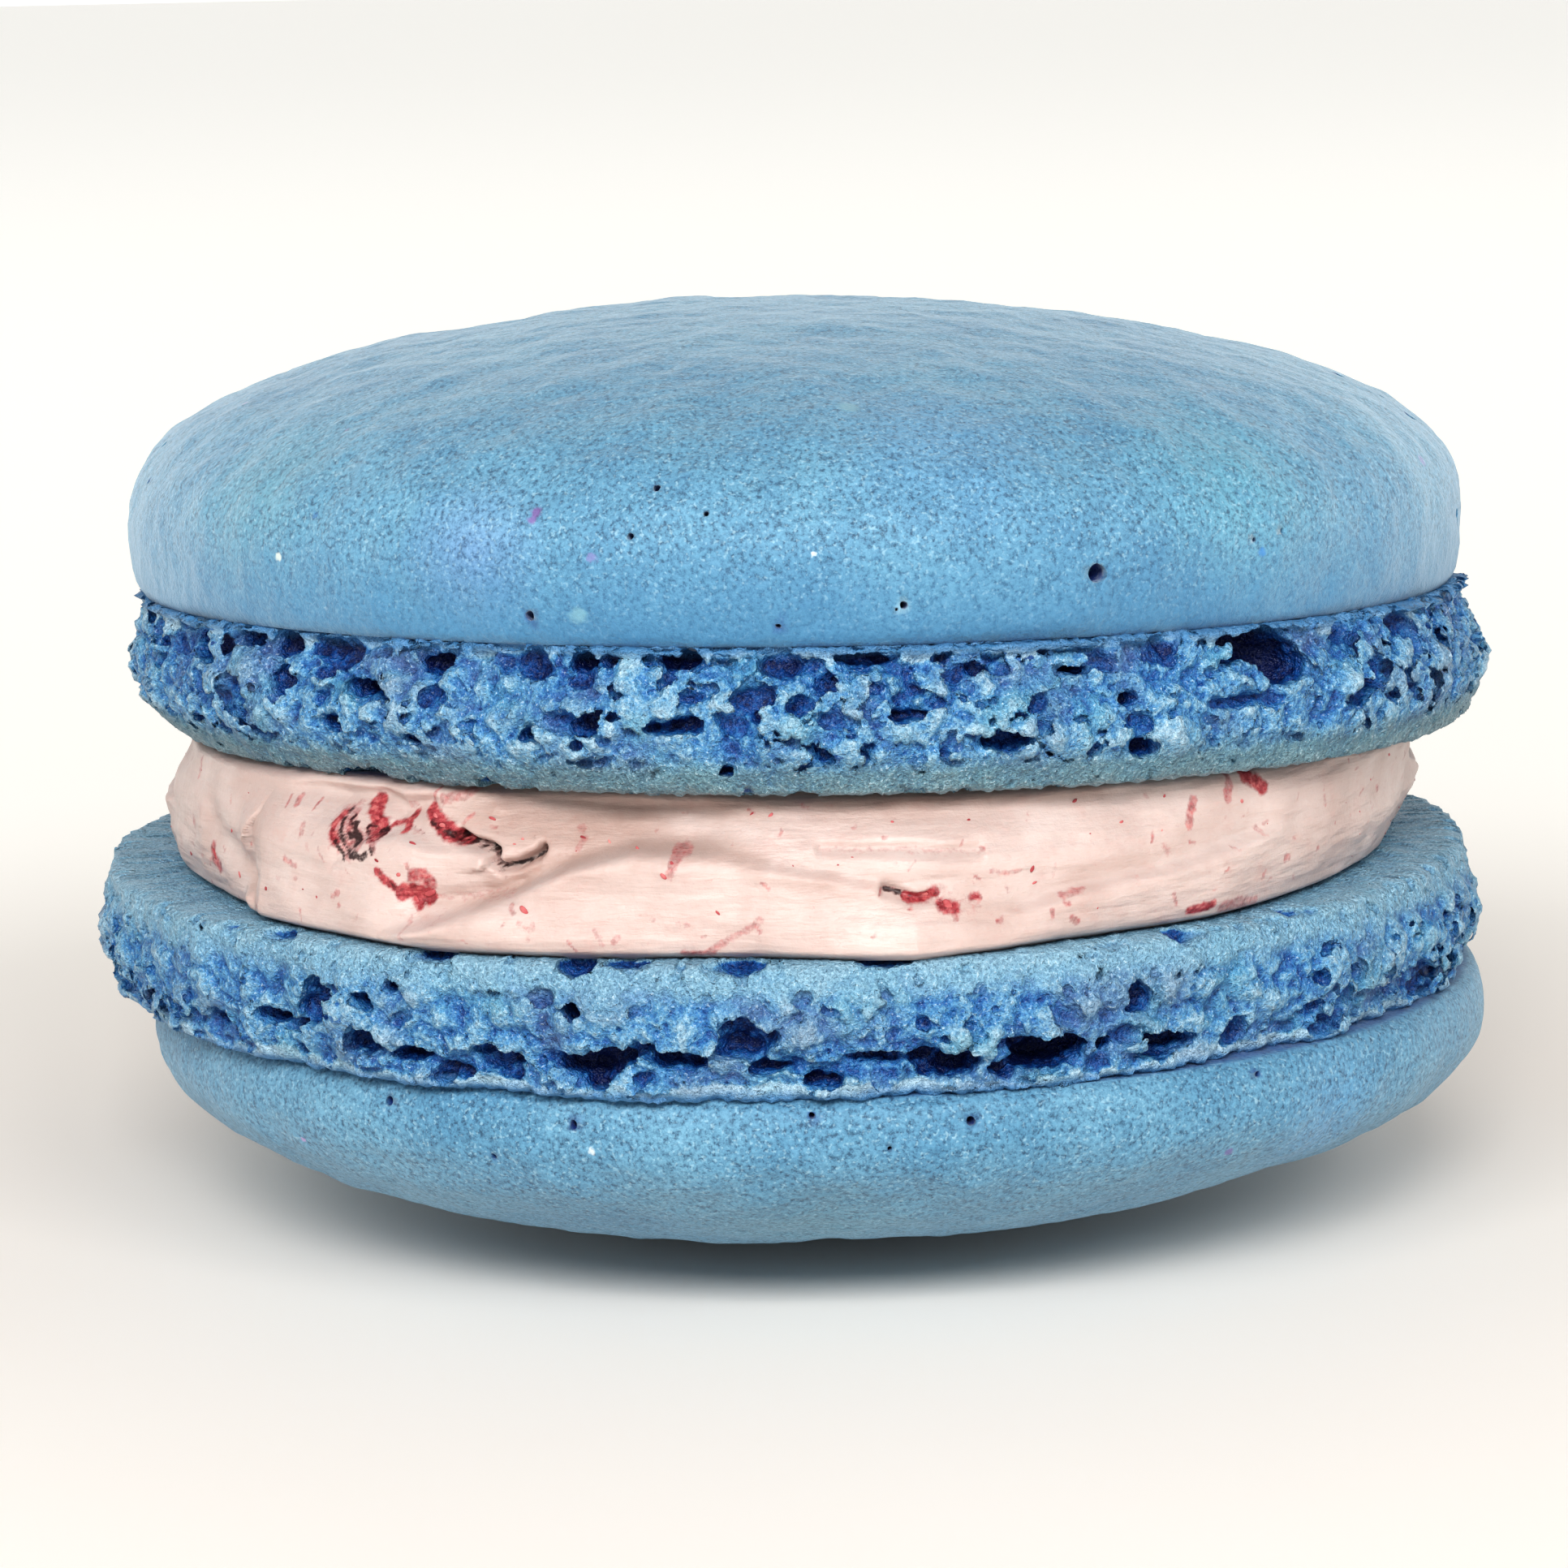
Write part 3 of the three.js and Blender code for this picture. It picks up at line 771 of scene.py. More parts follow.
# The turns of an evenly spun net, and where they go, so that the net is finer at the front.
EVEN_TURNS = (-180, -100, 100, 180)
DENSE_TURNS = (-180, -58, 58, 180)
CREAM_OVERLAP = 0.05
CREAM_BULGE = 0.35
LIP_DEPTH = 0.55
LIP_HEIGHT = 0.16
# The turn, then the radius at the lower face, halfway and at the upper face. From 90 to 270 degrees
# the photo doesn't show it.
CREAM_EDGES = (
    (-90, 19.8, 19.8, 19.4), (-77, 20.1, 20.1, 19.7), (-62, 20.3, 20.4, 20.2), (-54, 20.7, 20.6, 20.4),
    (-49, 21.5, 21.1, 20.6), (-39, 21.8, 21.3, 20.6), (-31, 22.3, 21.5, 20.5), (-26, 22.3, 21.3, 19.9),
    (-21, 22.2, 21.0, 19.5), (-15, 22.0, 20.9, 19.4), (-8, 21.7, 21.0, 19.7), (-3, 21.7, 21.2, 20.0),
    (3.5, 22.3, 21.4, 20.1), (9, 22.7, 21.5, 20.3), (15, 22.2, 21.4, 20.4), (21, 21.6, 21.3, 20.5),
    (27, 21.3, 21.2, 20.5), (36, 21.2, 21.1, 20.6), (48, 20.5, 20.7, 20.6), (62, 19.9, 20.3, 20.6),
    (80, 19.6, 20.0, 20.4), (110, 20.4, 20.4, 20.0), (135, 20.9, 20.7, 20.3), (165, 20.4, 20.4, 20.0),
    (200, 21.1, 21.0, 20.3), (235, 20.4, 20.4, 20.2),
)
# Each fold: its form, how far its effect reaches, how far it stands proud, both in millimetres, and
# its path of turns and shares of the height. A step lies proud below its path and hollow above it, and
# a groove is cut along it.
FOLDS = (
    ("step", 1.2, 0.62,
     ((-33.0, 0.10), (-28.5, 0.20), (-24.5, 0.33), (-21.0, 0.44), (-17.6, 0.56), (-12.8, 0.66),
      (-6, 0.66))),
    ("step", 0.8, 0.34, ((-26.5, 0.97), (-23.4, 0.82), (-21.6, 0.68), (-21.9, 0.58), (-24.6, 0.53))),
    ("step", 1.0, 0.16, ((-8, 0.68), (-2, 0.58), (5, 0.47), (12, 0.42))),
    ("groove", 0.14, -0.22, ((2.2, 0.67), (5.3, 0.66), (8.5, 0.66), (11.7, 0.64), (14.6, 0.63))),
    ("step", 1.3, 0.3, ((17.5, 0.27), (24, 0.36), (31, 0.41), (38.5, 0.50), (44, 0.56))),
    ("step", 1.0, -0.4, ((-50.5, 0.02), (-51.5, 0.16), (-54.5, 0.26), (-53, 0.45))),
    ("groove", 0.12, -0.8,
     ((-28.1, 0.70), (-26.8, 0.66), (-25.3, 0.64), (-24.5, 0.61), (-24.6, 0.56), (-24.0, 0.52),
      (-22.6, 0.54), (-21.1, 0.60), (-20.8, 0.63))),
    ("step", 0.5, 0.14, ((-31.1, 0.82), (-28.1, 0.71), (-25.3, 0.65), (-24.0, 0.54), (-21.1, 0.60))),
    ("groove", 0.3, -0.3, ((-31.0, 0.32), (-27.3, 0.33), (-22.3, 0.38))),
    ("groove", 0.55, -0.8, ((-45, 1.0), (-41, 0.93), (-37.4, 0.97))),
    ("groove", 0.3, -0.35, ((-36.5, 0.95), (-34, 0.82), (-31.4, 0.9))),
    ("step", 0.8, 0.28, ((-38.5, 0.50), (-36, 0.66), (-33, 0.70), (-29, 0.62))),
    ("groove", 0.16, -0.45, ((7.0, 0.43), (7.6, 0.42), (8.3, 0.40), (9.4, 0.37), (10.3, 0.38))),
    ("groove", 0.5, -0.3, ((-62, 0.55), (-56, 0.40), (-53, 0.30))),
    ("step", 1.6, 0.35, ((78, 0.7), (86, 0.55), (96, 0.6), (105, 0.4))),
    ("groove", 0.25, -0.3, ((112, 0.35), (124, 0.45), (138, 0.4))),
    ("step", 1.4, 0.4, ((150, 0.3), (163, 0.55), (180, 0.6), (196, 0.5))),
    ("groove", 0.15, -0.6, ((204, 0.6), (209, 0.5), (211, 0.56), (216, 0.5))),
    ("step", 1.5, 0.4, ((228, 0.25), (242, 0.5), (262, 0.62), (280, 0.5))),
)
CREAM_CORE = 18
CREAM_HEIGHT = UPPER["face"] - LOWER["face"]
MM_PER_DEGREE = math.radians(CREAM_RADIUS)


def distance_to_path(turns, ups, path):
    """How far each place on the side is from a path, in millimetres, negative below it."""
    origin = path[0][0]
    spots = np.stack([turn_gap(turns, origin) * MM_PER_DEGREE, ups * CREAM_HEIGHT], axis=-1)
    nodes = [np.array([(turn - origin) * MM_PER_DEGREE, up * CREAM_HEIGHT]) for turn, up in path]
    best = np.full(len(spots), np.inf)
    side = np.ones(len(spots))
    for start, end in zip(nodes, nodes[1:]):
        along = end - start
        share = np.clip((spots - start) @ along / (along @ along), 0, 1)
        away = spots - (start + share[:, None] * along)
        gap = np.hypot(away[:, 0], away[:, 1])
        closer = gap < best
        best = np.where(closer, gap, best)
        side = np.where(closer, along[0] * away[:, 1] - along[1] * away[:, 0], side)
    return best * np.sign(side)


# %% Shape the side of the cream
STEP_SHARPNESS = 0.13
# A step fades out over these degrees round its end.
STEP_END = (-3, 2)
# Strokes are long round the side and narrow up it.
STROKE_SQUEEZE = np.array([0.35, 0.35, 1.5])


def cream_relief(turns, ups):
    """The folds, how far each place stands proud of the plain side."""
    relief = np.zeros(len(turns))
    for form, wide, proud, path in FOLDS:
        gap = distance_to_path(turns, ups, path)
        if form == "step":
            first, last = path[0][0], path[-1][0]
            past = np.abs(turn_gap(turns, (first + last) / 2)) - abs(last - first) / 2
            inside = 1 - smoothstep(past, *STEP_END)
            fall = np.exp(-np.abs(gap) / wide) * inside
            relief -= proud * np.tanh(gap / STEP_SHARPNESS) * fall
        else:
            relief += proud * np.exp(-((gap / wide) ** 2))
    return relief


def between_faces(points, ups):
    """Heights between the faces of the two shells, of which the upper one is tipped."""
    nod, lean = math.radians(UPPER["nod"]), math.radians(UPPER["lean"])
    slope = points[:, 1] * math.tan(nod) - points[:, 0] * math.tan(lean)
    low = LOWER["face"] - CREAM_OVERLAP
    return low + (UPPER["face"] + CREAM_OVERLAP + slope - low) * ups


def cream_side(turns, ups):
    """Points on the side of the cream, for turns and shares of its height."""
    angles = np.radians(turns)
    directions = np.stack([np.sin(angles), -np.cos(angles), np.zeros(len(turns))], -1)
    flat = directions * CREAM_RADIUS
    flat[:, 2] = ups * CREAM_HEIGHT
    drawn_out = flat * STROKE_SQUEEZE
    edge = 1 - np.abs(2 * ups - 1)
    listed = np.array(CREAM_EDGES)
    lower, middle, upper = (np.interp(turns, listed[:, 0], listed[:, i], period=360) for i in (1, 2, 3))
    radius = lower + (middle - lower) * smoothstep(ups, 0.0, 0.5)
    radius += (upper - middle) * smoothstep(ups, 0.5, 0.95)
    radius += CREAM_BULGE * edge * (2 - edge)
    waves = 0.16 * lumps(drawn_out, 2.0, 6) + 0.10 * lumps(flat, 1.6, 7) + 0.045 * lumps(drawn_out, 0.4, 8)
    radius += (waves + cream_relief(turns, ups)) * smoothstep(edge, 0.02, 0.3)
    radius -= LIP_DEPTH * (1 - smoothstep(edge, 0, LIP_HEIGHT)) ** 1.5
    points = directions * radius[:, None]
    points[:, 2] = between_faces(points, ups)
    return points


def make_cream():
    """The cream's piece, with the turn and the share of the height of each of its points."""
    side = [(CREAM_RADIUS, ring / CREAM_RINGS) for ring in range(CREAM_RINGS + 1)]
    piece = spun([(0, 0), (CREAM_CORE, 0), *side, (CREAM_CORE, 1), (0, 1)], CREAM_STEPS, "butter_cream")
    points = read_points(piece.data)
    turns = np.interp(turn_of(points), EVEN_TURNS, DENSE_TURNS)
    ups = points[:, 2].copy()
    at_side = np.hypot(points[:, 0], points[:, 1]) > CREAM_RADIUS - 0.01
    points[:, 2] = between_faces(points, ups)
    points[at_side] = cream_side(turns[at_side], ups[at_side])
    write_points(piece.data, points)
    return piece, turns, ups


cream, cream_turns, cream_ups = make_cream()
print("The cream has", len(cream.data.polygons), "faces")

# %% [markdown]
# # Berries in the cream
# Crushed berries were stirred in: dark skins that smeared into streaks, and flecks of pulp. A smear has
# no thickness, so it is painted: each point of the cream stores how much berry colour it has and how
# dark it is. Where a smear fills a crack, its dark is painted shade. A fleck has a little body. Those
# are small flattened balls, half sunk, all in one mesh.

# %% Smears
# Each smear: half its width in millimetres, how red it is, how dark it is, and its path.
SMEARS = (
    (0.5, 0.45, 0.0, ((-39.4, 0.74), (-38.8, 0.66), (-37.4, 0.60))),
    (0.12, 0.9, 0.4, ((-39.8, 0.77), (-40.1, 0.72), (-40.0, 0.67), (-39.1, 0.61))),
    (0.05, 0.4, 0.9, ((-39.3, 0.62), (-38.5, 0.56), (-37.7, 0.51))),
    (0.07, 0.6, 0.85,
     ((-39.3, 0.80), (-39.4, 0.73), (-39.1, 0.67), (-38.5, 0.62), (-37.6, 0.56), (-36.6, 0.53))),
    (0.06, 0.7, 0.7, ((-38.5, 0.78), (-38.7, 0.72), (-38.4, 0.67))),
    (0.12, 0.3, 0.75, ((-36.8, 0.56), (-35.9, 0.54), (-35.4, 0.56))),
    (0.17, 0.6, 0.95, ((-38.1, 0.71), (-37.9, 0.66), (-37.2, 0.62))),
    (0.24, 0.9, 0.1, ((-37.4, 0.85), (-36.6, 0.79), (-36.0, 0.73), (-35.4, 0.71))),
    (0.16, 0.8, 0.9, ((-36.6, 0.70), (-35.6, 0.67), (-34.8, 0.69))),
    (0.12, 0.5, 0.95, ((-35.4, 0.67), (-35.0, 0.64), (-34.8, 0.59))),
    (0.07, 0.9, 0.35, ((-34.8, 0.70), (-34.4, 0.74), (-33.9, 0.75), (-33.2, 0.76))),
    (0.13, 0.9, 0.35, ((-32.8, 0.73), (-33.1, 0.77), (-32.8, 0.80))),
    (0.05, 0.3, 0.5, ((-32.7, 0.74), (-31.9, 0.71), (-31.0, 0.70))),
    (0.22, 1.0, 0.12, ((-31.1, 0.83), (-30.5, 0.80), (-29.6, 0.75), (-28.5, 0.71))),
    (0.10, 0.9, 0.7, ((-30.6, 0.77), (-29.3, 0.73), (-28.0, 0.68), (-27.2, 0.66))),
    # The next four smears follow the crack cut by a groove and the edge of the flap beside it: their near
    # black and grey is painted shade, with a little berry red in the first three.
    (0.075, 0.3, 1.0,
     ((-28.1, 0.70), (-26.8, 0.66), (-25.3, 0.64), (-24.5, 0.61), (-24.6, 0.56), (-24.0, 0.52))),
    (0.045, 0.2, 1.0, ((-24.2, 0.53), (-22.9, 0.54), (-22.0, 0.56), (-21.1, 0.60), (-20.8, 0.63))),
    (0.05, 0.1, 0.45, ((-24.2, 0.52), (-24.0, 0.47), (-23.4, 0.45))),
    (0.09, 0.0, 0.25, ((-24.0, 0.82), (-22.6, 0.75), (-21.6, 0.70))),
    (0.11, 1.0, 0.45, ((-34.1, 0.47), (-33.5, 0.43), (-32.9, 0.40), (-32.0, 0.36))),
    (0.22, 1.0, 0.3, ((-31.9, 0.36), (-31.1, 0.37), (-30.4, 0.35), (-29.9, 0.32))),
    (0.2, 0.75, 0.0, ((-30.9, 0.45), (-30.1, 0.46), (-29.6, 0.43), (-29.9, 0.39))),
    (0.12, 0.9, 0.3, ((-31.0, 0.31), (-30.6, 0.27))),
    (0.10, 0.2, 0.0, ((-29.6, 0.32), (-27.3, 0.33), (-25.3, 0.35), (-22.3, 0.38))),
    (0.12, 0.35, 0.0, ((-17.8, 0.64), (-17.4, 0.70))),
    (0.12, 0.55, 0.05, ((-9.3, 0.66), (-8.2, 0.66))),
    (0.16, 0.5, 0.0, ((-8.7, 0.66), (-9.1, 0.62), (-9.3, 0.59), (-9.5, 0.53))),
    (0.09, 0.4, 0.0, ((-2.5, 0.26), (-3.6, 0.20), (-4.9, 0.15), (-6.2, 0.08))),
    (0.10, 0.6, 0.3, ((-8.5, 0.05), (-6.2, 0.06))),
    # This smear follows the groove at 7 to 10 degrees: its near black is painted shade, over berry red.
    (0.06, 0.5, 1.0, ((7.0, 0.43), (7.6, 0.42), (8.3, 0.40), (8.8, 0.38))),
    (0.13, 1.0, 0.4, ((8.6, 0.38), (9.4, 0.37), (10.2, 0.38), (10.8, 0.41))),
    (0.3, 0.18, 0.0, ((10.8, 0.40), (12.0, 0.34), (13.6, 0.31))),
    (0.17, 0.85, 0.1, ((11.2, 0.33), (11.7, 0.32), (12.2, 0.31))),
    (0.10, 0.5, 0.0, ((12.1, 0.28), (12.2, 0.25))),
    (0.10, 0.8, 0.1, ((13.7, 0.36), (14.3, 0.36))),
    (0.07, 0.2, 0.0, ((2.2, 0.67), (5.3, 0.66), (8.5, 0.66), (11.7, 0.64), (14.6, 0.63))),
    (0.26, 0.75, 0.05, ((-61.3, 0.33), (-61.2, 0.29), (-59.9, 0.25))),
    (0.12, 0.5, 0.0, ((-66.9, 0.90), (-66.8, 0.79))),
    (0.16, 0.5, 0.0, ((-67.1, 0.48), (-66.4, 0.46))),
    (0.10, 0.55, 0.0, ((-45.9, 0.83), (-45.7, 0.79))),
    (0.09, 0.4, 0.0, ((-43.8, 0.68), (-43.5, 0.63))),
    (0.08, 0.5, 0.0, ((-45.3, 0.46), (-43.9, 0.42))),
    (0.06, 0.35, 0.0, ((-40.9, 0.56), (-40.2, 0.49))),
    (0.14, 0.45, 0.1, ((-27.6, 0.98), (-28.6, 0.93), (-30.2, 0.90))),
    (0.05, 0.5, 0.0, ((21.0, 0.32), (23.2, 0.35))),
    (0.045, 0.4, 0.0, ((15.3, 0.51), (16.6, 0.49), (17.9, 0.50))),
    (0.15, 0.6, 0.0, ((35.0, 0.81), (34.3, 0.73), (34.0, 0.66))),
    (0.17, 0.55, 0.0, ((39.2, 0.95), (39.1, 0.87), (38.6, 0.80))),
    (0.26, 0.9, 0.1, ((41.2, 0.93), (42.3, 0.89), (42.9, 0.84))),
    (0.12, 0.5, 0.0, ((45.4, 0.33), (45.8, 0.33))),
    (0.12, 0.4, 0.0, ((41.8, 0.57), (42.0, 0.55))),
    (0.16, 0.25, 0.0, ((31.2, 0.53), (31.6, 0.52))),
    (0.14, 0.9, 0.3, ((33.1, 0.12), (34.4, 0.12), (35.7, 0.14))),
    (0.2, 0.45, 0.1, ((36.8, 0.10), (38.9, 0.10), (41.4, 0.07))),
)
# Paths of painted shade, warm brown, in the hollows and under the upper rim: half the width, how deep
# the painted shade is, and the path.
PAINTED_SHADE_PATHS = (
    (1.0, 0.5, ((-27.5, 0.93), (-25.0, 0.86), (-21.5, 0.80), (-17, 0.79), (-12.5, 0.83))),
    (0.42, 0.5, ((-14, 0.86), (-8, 0.90), (0, 0.93), (8, 0.94), (16, 0.95), (26, 0.97))),
    (0.35, 0.5, ((-20.7, 0.62), (-20.9, 0.54), (-22.2, 0.46), (-24.7, 0.37))),
    (0.32, 0.42,
     ((-20.6, 0.55), (-18.5, 0.58), (-15.9, 0.64), (-12.4, 0.68), (-9.0, 0.68), (-4.9, 0.66),
      (-2.6, 0.58))),
    (0.4, 0.16, ((-0.7, 0.52), (2.6, 0.47), (5.8, 0.42), (8.2, 0.37))),
    (0.2, 0.3, ((-30.5, 0.30), (-27.3, 0.32), (-23.0, 0.37))),
    (0.3, 0.15, ((11.0, 0.30), (14, 0.27), (17, 0.25))),
    (0.3, 0.15, ((22.5, 0.42), (27, 0.47), (32, 0.55), (35, 0.66))),
    (0.3, 0.25, ((-50.5, 0.10), (-52.5, 0.22), (-54.5, 0.32))),
)
HIDDEN_SMEARS = 30
TINY_SMEARS = 320
SMEAR_SEED = 5
# No smear reaches further than this many degrees from its middle.
SMEAR_REACH = 12


def random_smears(seed):
    """Streaks for the sides and the back, which the photo doesn't show, and tiny ones everywhere."""
    rng = random.Random(seed)
    made = []
    for _ in range(HIDDEN_SMEARS):
        turn, up, lean = rng.uniform(62, 295), rng.uniform(0.15, 0.85), rng.uniform(-0.12, 0.12)
        reach = rng.uniform(0.5, 3.0)
        path = ((turn, up), (turn + reach / 2, up + lean + rng.gauss(0, 0.03)), (turn + reach, up + 2 * lean))
        dark = rng.choice((0.0, 0.1, 0.5, 0.9))
        made.append((rng.uniform(0.07, 0.25), rng.uniform(0.3, 1), dark, path))
    for _ in range(TINY_SMEARS):
        turn, up = rng.uniform(-180, 180), rng.uniform(0.06, 0.94)
        path = ((turn, up), (turn + rng.uniform(0.05, 0.7), up + rng.gauss(0, 0.04)))
        wide = 0.02 + 0.07 * rng.random() ** 2
        made.append((wide, rng.uniform(0.1, 0.6), 0.0, path))
    return made


def paint_cream(piece, turns, ups):
    """Stores on each point how red, how dark and how shaded the cream is there."""
    points = read_points(piece.data)
    ragged = 0.6 * lumps(points, 0.22, 31) + 0.5 * lumps(points, 0.6, 32)
    red, dark, shade = np.zeros((3, len(points)))
    for wide, redness, darkness, path in (*SMEARS, *random_smears(SMEAR_SEED)):
        middle = (path[0][0] + path[-1][0]) / 2
        near = np.flatnonzero(np.abs(turn_gap(turns, middle)) < SMEAR_REACH)
        gap = np.abs(distance_to_path(turns[near], ups[near], path))
        cover = 1 - smoothstep(gap + (0.4 * wide + 0.02) * ragged[near], 0.6 * wide, 1.1 * wide + 0.04)
        red[near] = np.maximum(red[near], cover * redness)
        patchy = 0.35 + 0.65 * smoothstep(ragged[near], -0.35, 0.1)
        dark[near] = np.maximum(dark[near], cover * darkness * patchy)
    for wide, deep, path in PAINTED_SHADE_PATHS:
        gap = distance_to_path(turns, ups, path)
        shade = np.maximum(shade, deep * np.exp(-((gap / wide) ** 2)))
    store(piece.data, "shade", shade * (1 + 0.25 * ragged))
    store(piece.data, "red", red)
    store(piece.data, "dark", dark)
    print("Berry colour covers", round(100 * float((red > 0.3).mean()), 1), "% of the cream's points")


paint_cream(cream, cream_turns, cream_ups)
write_points(cream.data, (read_points(cream.data) + np.array(CENTRING)) * MM)
cream.data.shade_smooth()
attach(cream, "root")
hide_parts("filling")

# %% Flecks of pulp
FLECK_COUNT = 90
FLECK_SEED = 41
# Turn, share of the height and radius of the flecks that can be told apart in the photo.
NAMED_FLECKS = (
    (-31.3, 0.65, 0.07), (-25.5, 0.80, 0.09), (-20.8, 0.30, 0.11), (-17.6, 0.70, 0.06), (-15.3, 0.675, 0.06),
    (-12.5, 0.66, 0.06), (-23.1, 0.66, 0.05), (14.0, 0.36, 0.08), (11.7, 0.325, 0.12), (10.2, 0.39, 0.10),
    (-30.0, 0.35, 0.13), (-31.1, 0.30, 0.10), (-36.4, 0.76, 0.12), (-30.5, 0.80, 0.1), (-29.6, 0.75, 0.11),
    (-3.3, 0.86, 0.05), (8.1, 0.81, 0.05), (-61.1, 0.31, 0.14), (-9.3, 0.60, 0.07), (-56.0, 0.53, 0.07),
)


def fleck_places():
    """A matrix for each fleck, flattened against the side of the cream."""
    rng = random.Random(FLECK_SEED)
    spots = list(NAMED_FLECKS)
    for _ in range(FLECK_COUNT):
        spots.append((rng.uniform(-180, 180), rng.uniform(0.1, 0.9), 0.025 + 0.06 * rng.random() ** 2))
    turns, ups, _ = np.array(spots).T
    surface = cream_side(turns, ups)
    places = []
    for (turn, _, size), point in zip(spots, surface):
        facing = Matrix.Rotation(math.radians(turn), 4, "Z")
        tilt = Matrix.Rotation(rng.uniform(-1.2, 1.2), 4, "Y")
        form = Matrix.Diagonal((size * rng.uniform(1.0, 1.9), size * 0.3, size * rng.uniform(0.6, 1.0), 1))
        places.append(Matrix.Translation(Vector(point) + CENTRING) @ facing @ tilt @ form)
    return places


flecks = balls(fleck_places(), BALL_DETAIL, "berry_flecks")
flecks.data.transform(Matrix.Scale(MM, 4))
flecks.data.shade_smooth()
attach(flecks, "root")
print("There are", len(NAMED_FLECKS) + FLECK_COUNT, "flecks")

# %% [markdown]
# # Colours and the one function for nodes
# Colours are written as the sRGB hex values that a colour picker shows on the photo. Blender mixes
# light in linear values, so one function turns them. Each material is a small graph of nodes, and one
# function adds a node with its settings and links, which keeps a graph readable as a list.


# %% Colour and node helpers
def linear(hex_colour):
    """A linear colour with alpha from an sRGB hex value."""
    channels = [int(hex_colour[i : i + 2], 16) / 255 for i in (1, 3, 5)]
    return (*(c / 12.92 if c <= 0.04045 else ((c + 0.055) / 1.055) ** 2.4 for c in channels), 1)


def add_node(tree, kind, inputs=None, stops=None, **settings):
    """Adds a node: settings on it, values or links on its inputs, and stops on a colour ramp."""
    made = tree.nodes.new("ShaderNode" + kind)
    for name, value in settings.items():
        setattr(made, name, value)
    for name, value in (inputs or {}).items():
        if isinstance(value, bpy.types.NodeSocket):
            tree.links.new(value, made.inputs[name])
        else:
            made.inputs[name].default_value = value
    for i, (position, colour) in enumerate(stops or ()):
        stop = made.color_ramp.elements[i] if i < 2 else made.color_ramp.elements.new(position)
        stop.position = position
        stop.color = linear(colour)
    return made


def new_material(name):
    """An empty material and its tree of nodes."""
    material = bpy.data.materials.new(name)
    material.use_nodes = True
    material.node_tree.nodes.clear()
    return material, material.node_tree


def place_in_mm(tree):
    """The place on the piece in millimetres, which all patterns are drawn in."""
    where = add_node(tree, "TexCoord").outputs["Object"]
    return add_node(tree, "Mapping", {"Vector": where, "Scale": (1000, 1000, 1000)}).outputs[0]


def noise_of(tree, place, size, detail=3.0, roughness=0.6):
    """Soft noise whose lumps are about a size in millimetres."""
    inputs = {"Vector": place, "Scale": 1 / size, "Detail": detail, "Roughness": roughness}
    return add_node(tree, "TexNoise", inputs).outputs["Fac"]


def blend(tree, share, first, second, blend_type="MIX"):
    """Mixes two colours by a share of the second."""
    inputs = {0: share, 6: first, 7: second}
    return add_node(tree, "Mix", inputs, data_type="RGBA", blend_type=blend_type).outputs[2]


def ramp(tree, share, *stops):
    """A colour for each share, from stops of a position and a hex colour."""
    return add_node(tree, "ValToRGB", {"Fac": share}, stops=stops).outputs[0]


def stored(tree, name):
    """The number that each point of the piece keeps under a name."""
    return add_node(tree, "Attribute", attribute_name=name).outputs["Fac"]


def maths(tree, operation, first, second):
    """One operation on two numbers."""
    return add_node(tree, "Math", {0: first, 1: second}, operation=operation).outputs[0]


def sums(tree, value, factor, added=0.0):
    """The value times a factor, and something added."""
    return add_node(tree, "Math", {0: value, 1: factor, 2: added}, operation="MULTIPLY_ADD").outputs[0]


def between(tree, value, low, high, first=0.0, last=1.0):
    """Goes from the first number to the last one while the value goes from low to high."""
    return add_node(tree, "MapRange", {0: value, 1: low, 2: high, 3: first, 4: last}).outputs[0]


def relief_of(tree, height, distance, below=None):
    """A bump: the height of the pattern in metres, laid on another bump."""
    inputs = {"Height": height, "Distance": distance, "Strength": 1}
    if below:
        inputs["Normal"] = below
    return add_node(tree, "Bump", inputs).outputs[0]


def surface_of(tree, inputs):
    """Adds the surface with its inputs and makes it what the material shows."""
    surface = add_node(tree, "BsdfPrincipled", inputs).outputs[0]
    add_node(tree, "OutputMaterial", {"Surface": surface})


# %% [markdown]
# # Baked meringue skin
# The shell is beaten egg white with sugar and ground almonds, dyed blue and dried in a gentle oven. Its
# skin is dry, nearly matt and faintly dusty, so it looks paler where it is seen at a low angle. The
# almonds show as a fine grain of dark and pale specks, and the dye as soft darker patches.

# %% Marks on the skin
# How much darker and bluer the skin gets towards the seam, which is painted shade where the dome curls
# under, and how dusty it is.
UPPER["blue_seam"] = 0.75
LOWER["blue_seam"] = 0.0
UPPER["dust"] = 0.65
LOWER["dust"] = 0.25
# Turn, rise above the seam, radius in millimetres and colour of the specks that the photo shows.
UPPER["marks"] = (
    (-45.9, 2.18, 0.14, "#dfe6dc"), (-40.4, 0.72, 0.10, "#d9e4ea"), (1.0, 2.72, 0.09, "#e6eef2"),
    (-7.8, 0.4, 0.09, "#e0e9f0"), (-20.8, 3.86, 0.18, "#7c4c95"), (-21.1, 3.62, 0.15, "#7f5aa0"),
    (-15.9, 2.6, 0.16, "#7a7cb2"), (67.7, 4.16, 0.2, "#8f86bb"), (-71.2, 6.23, 0.14, "#cf8fc4"),
    (-45.8, 5.97, 0.13, "#c98ac0"), (-42.2, 3.55, 0.14, "#2a6fb4"), (39.2, 2.16, 0.15, "#2f7fc4"),
    (7.7, 1.15, 0.24, "#86b0c6"), (-17.2, 0.9, 0.28, "#74a3b4"), (4.9, 6.6, 0.35, "#7aa5b4"),
    (130.0, 3.0, 0.18, "#7c4c95"), (175.0, 5.2, 0.14, "#cf8fc4"), (215.0, 2.0, 0.14, "#2a6fb4"),
)
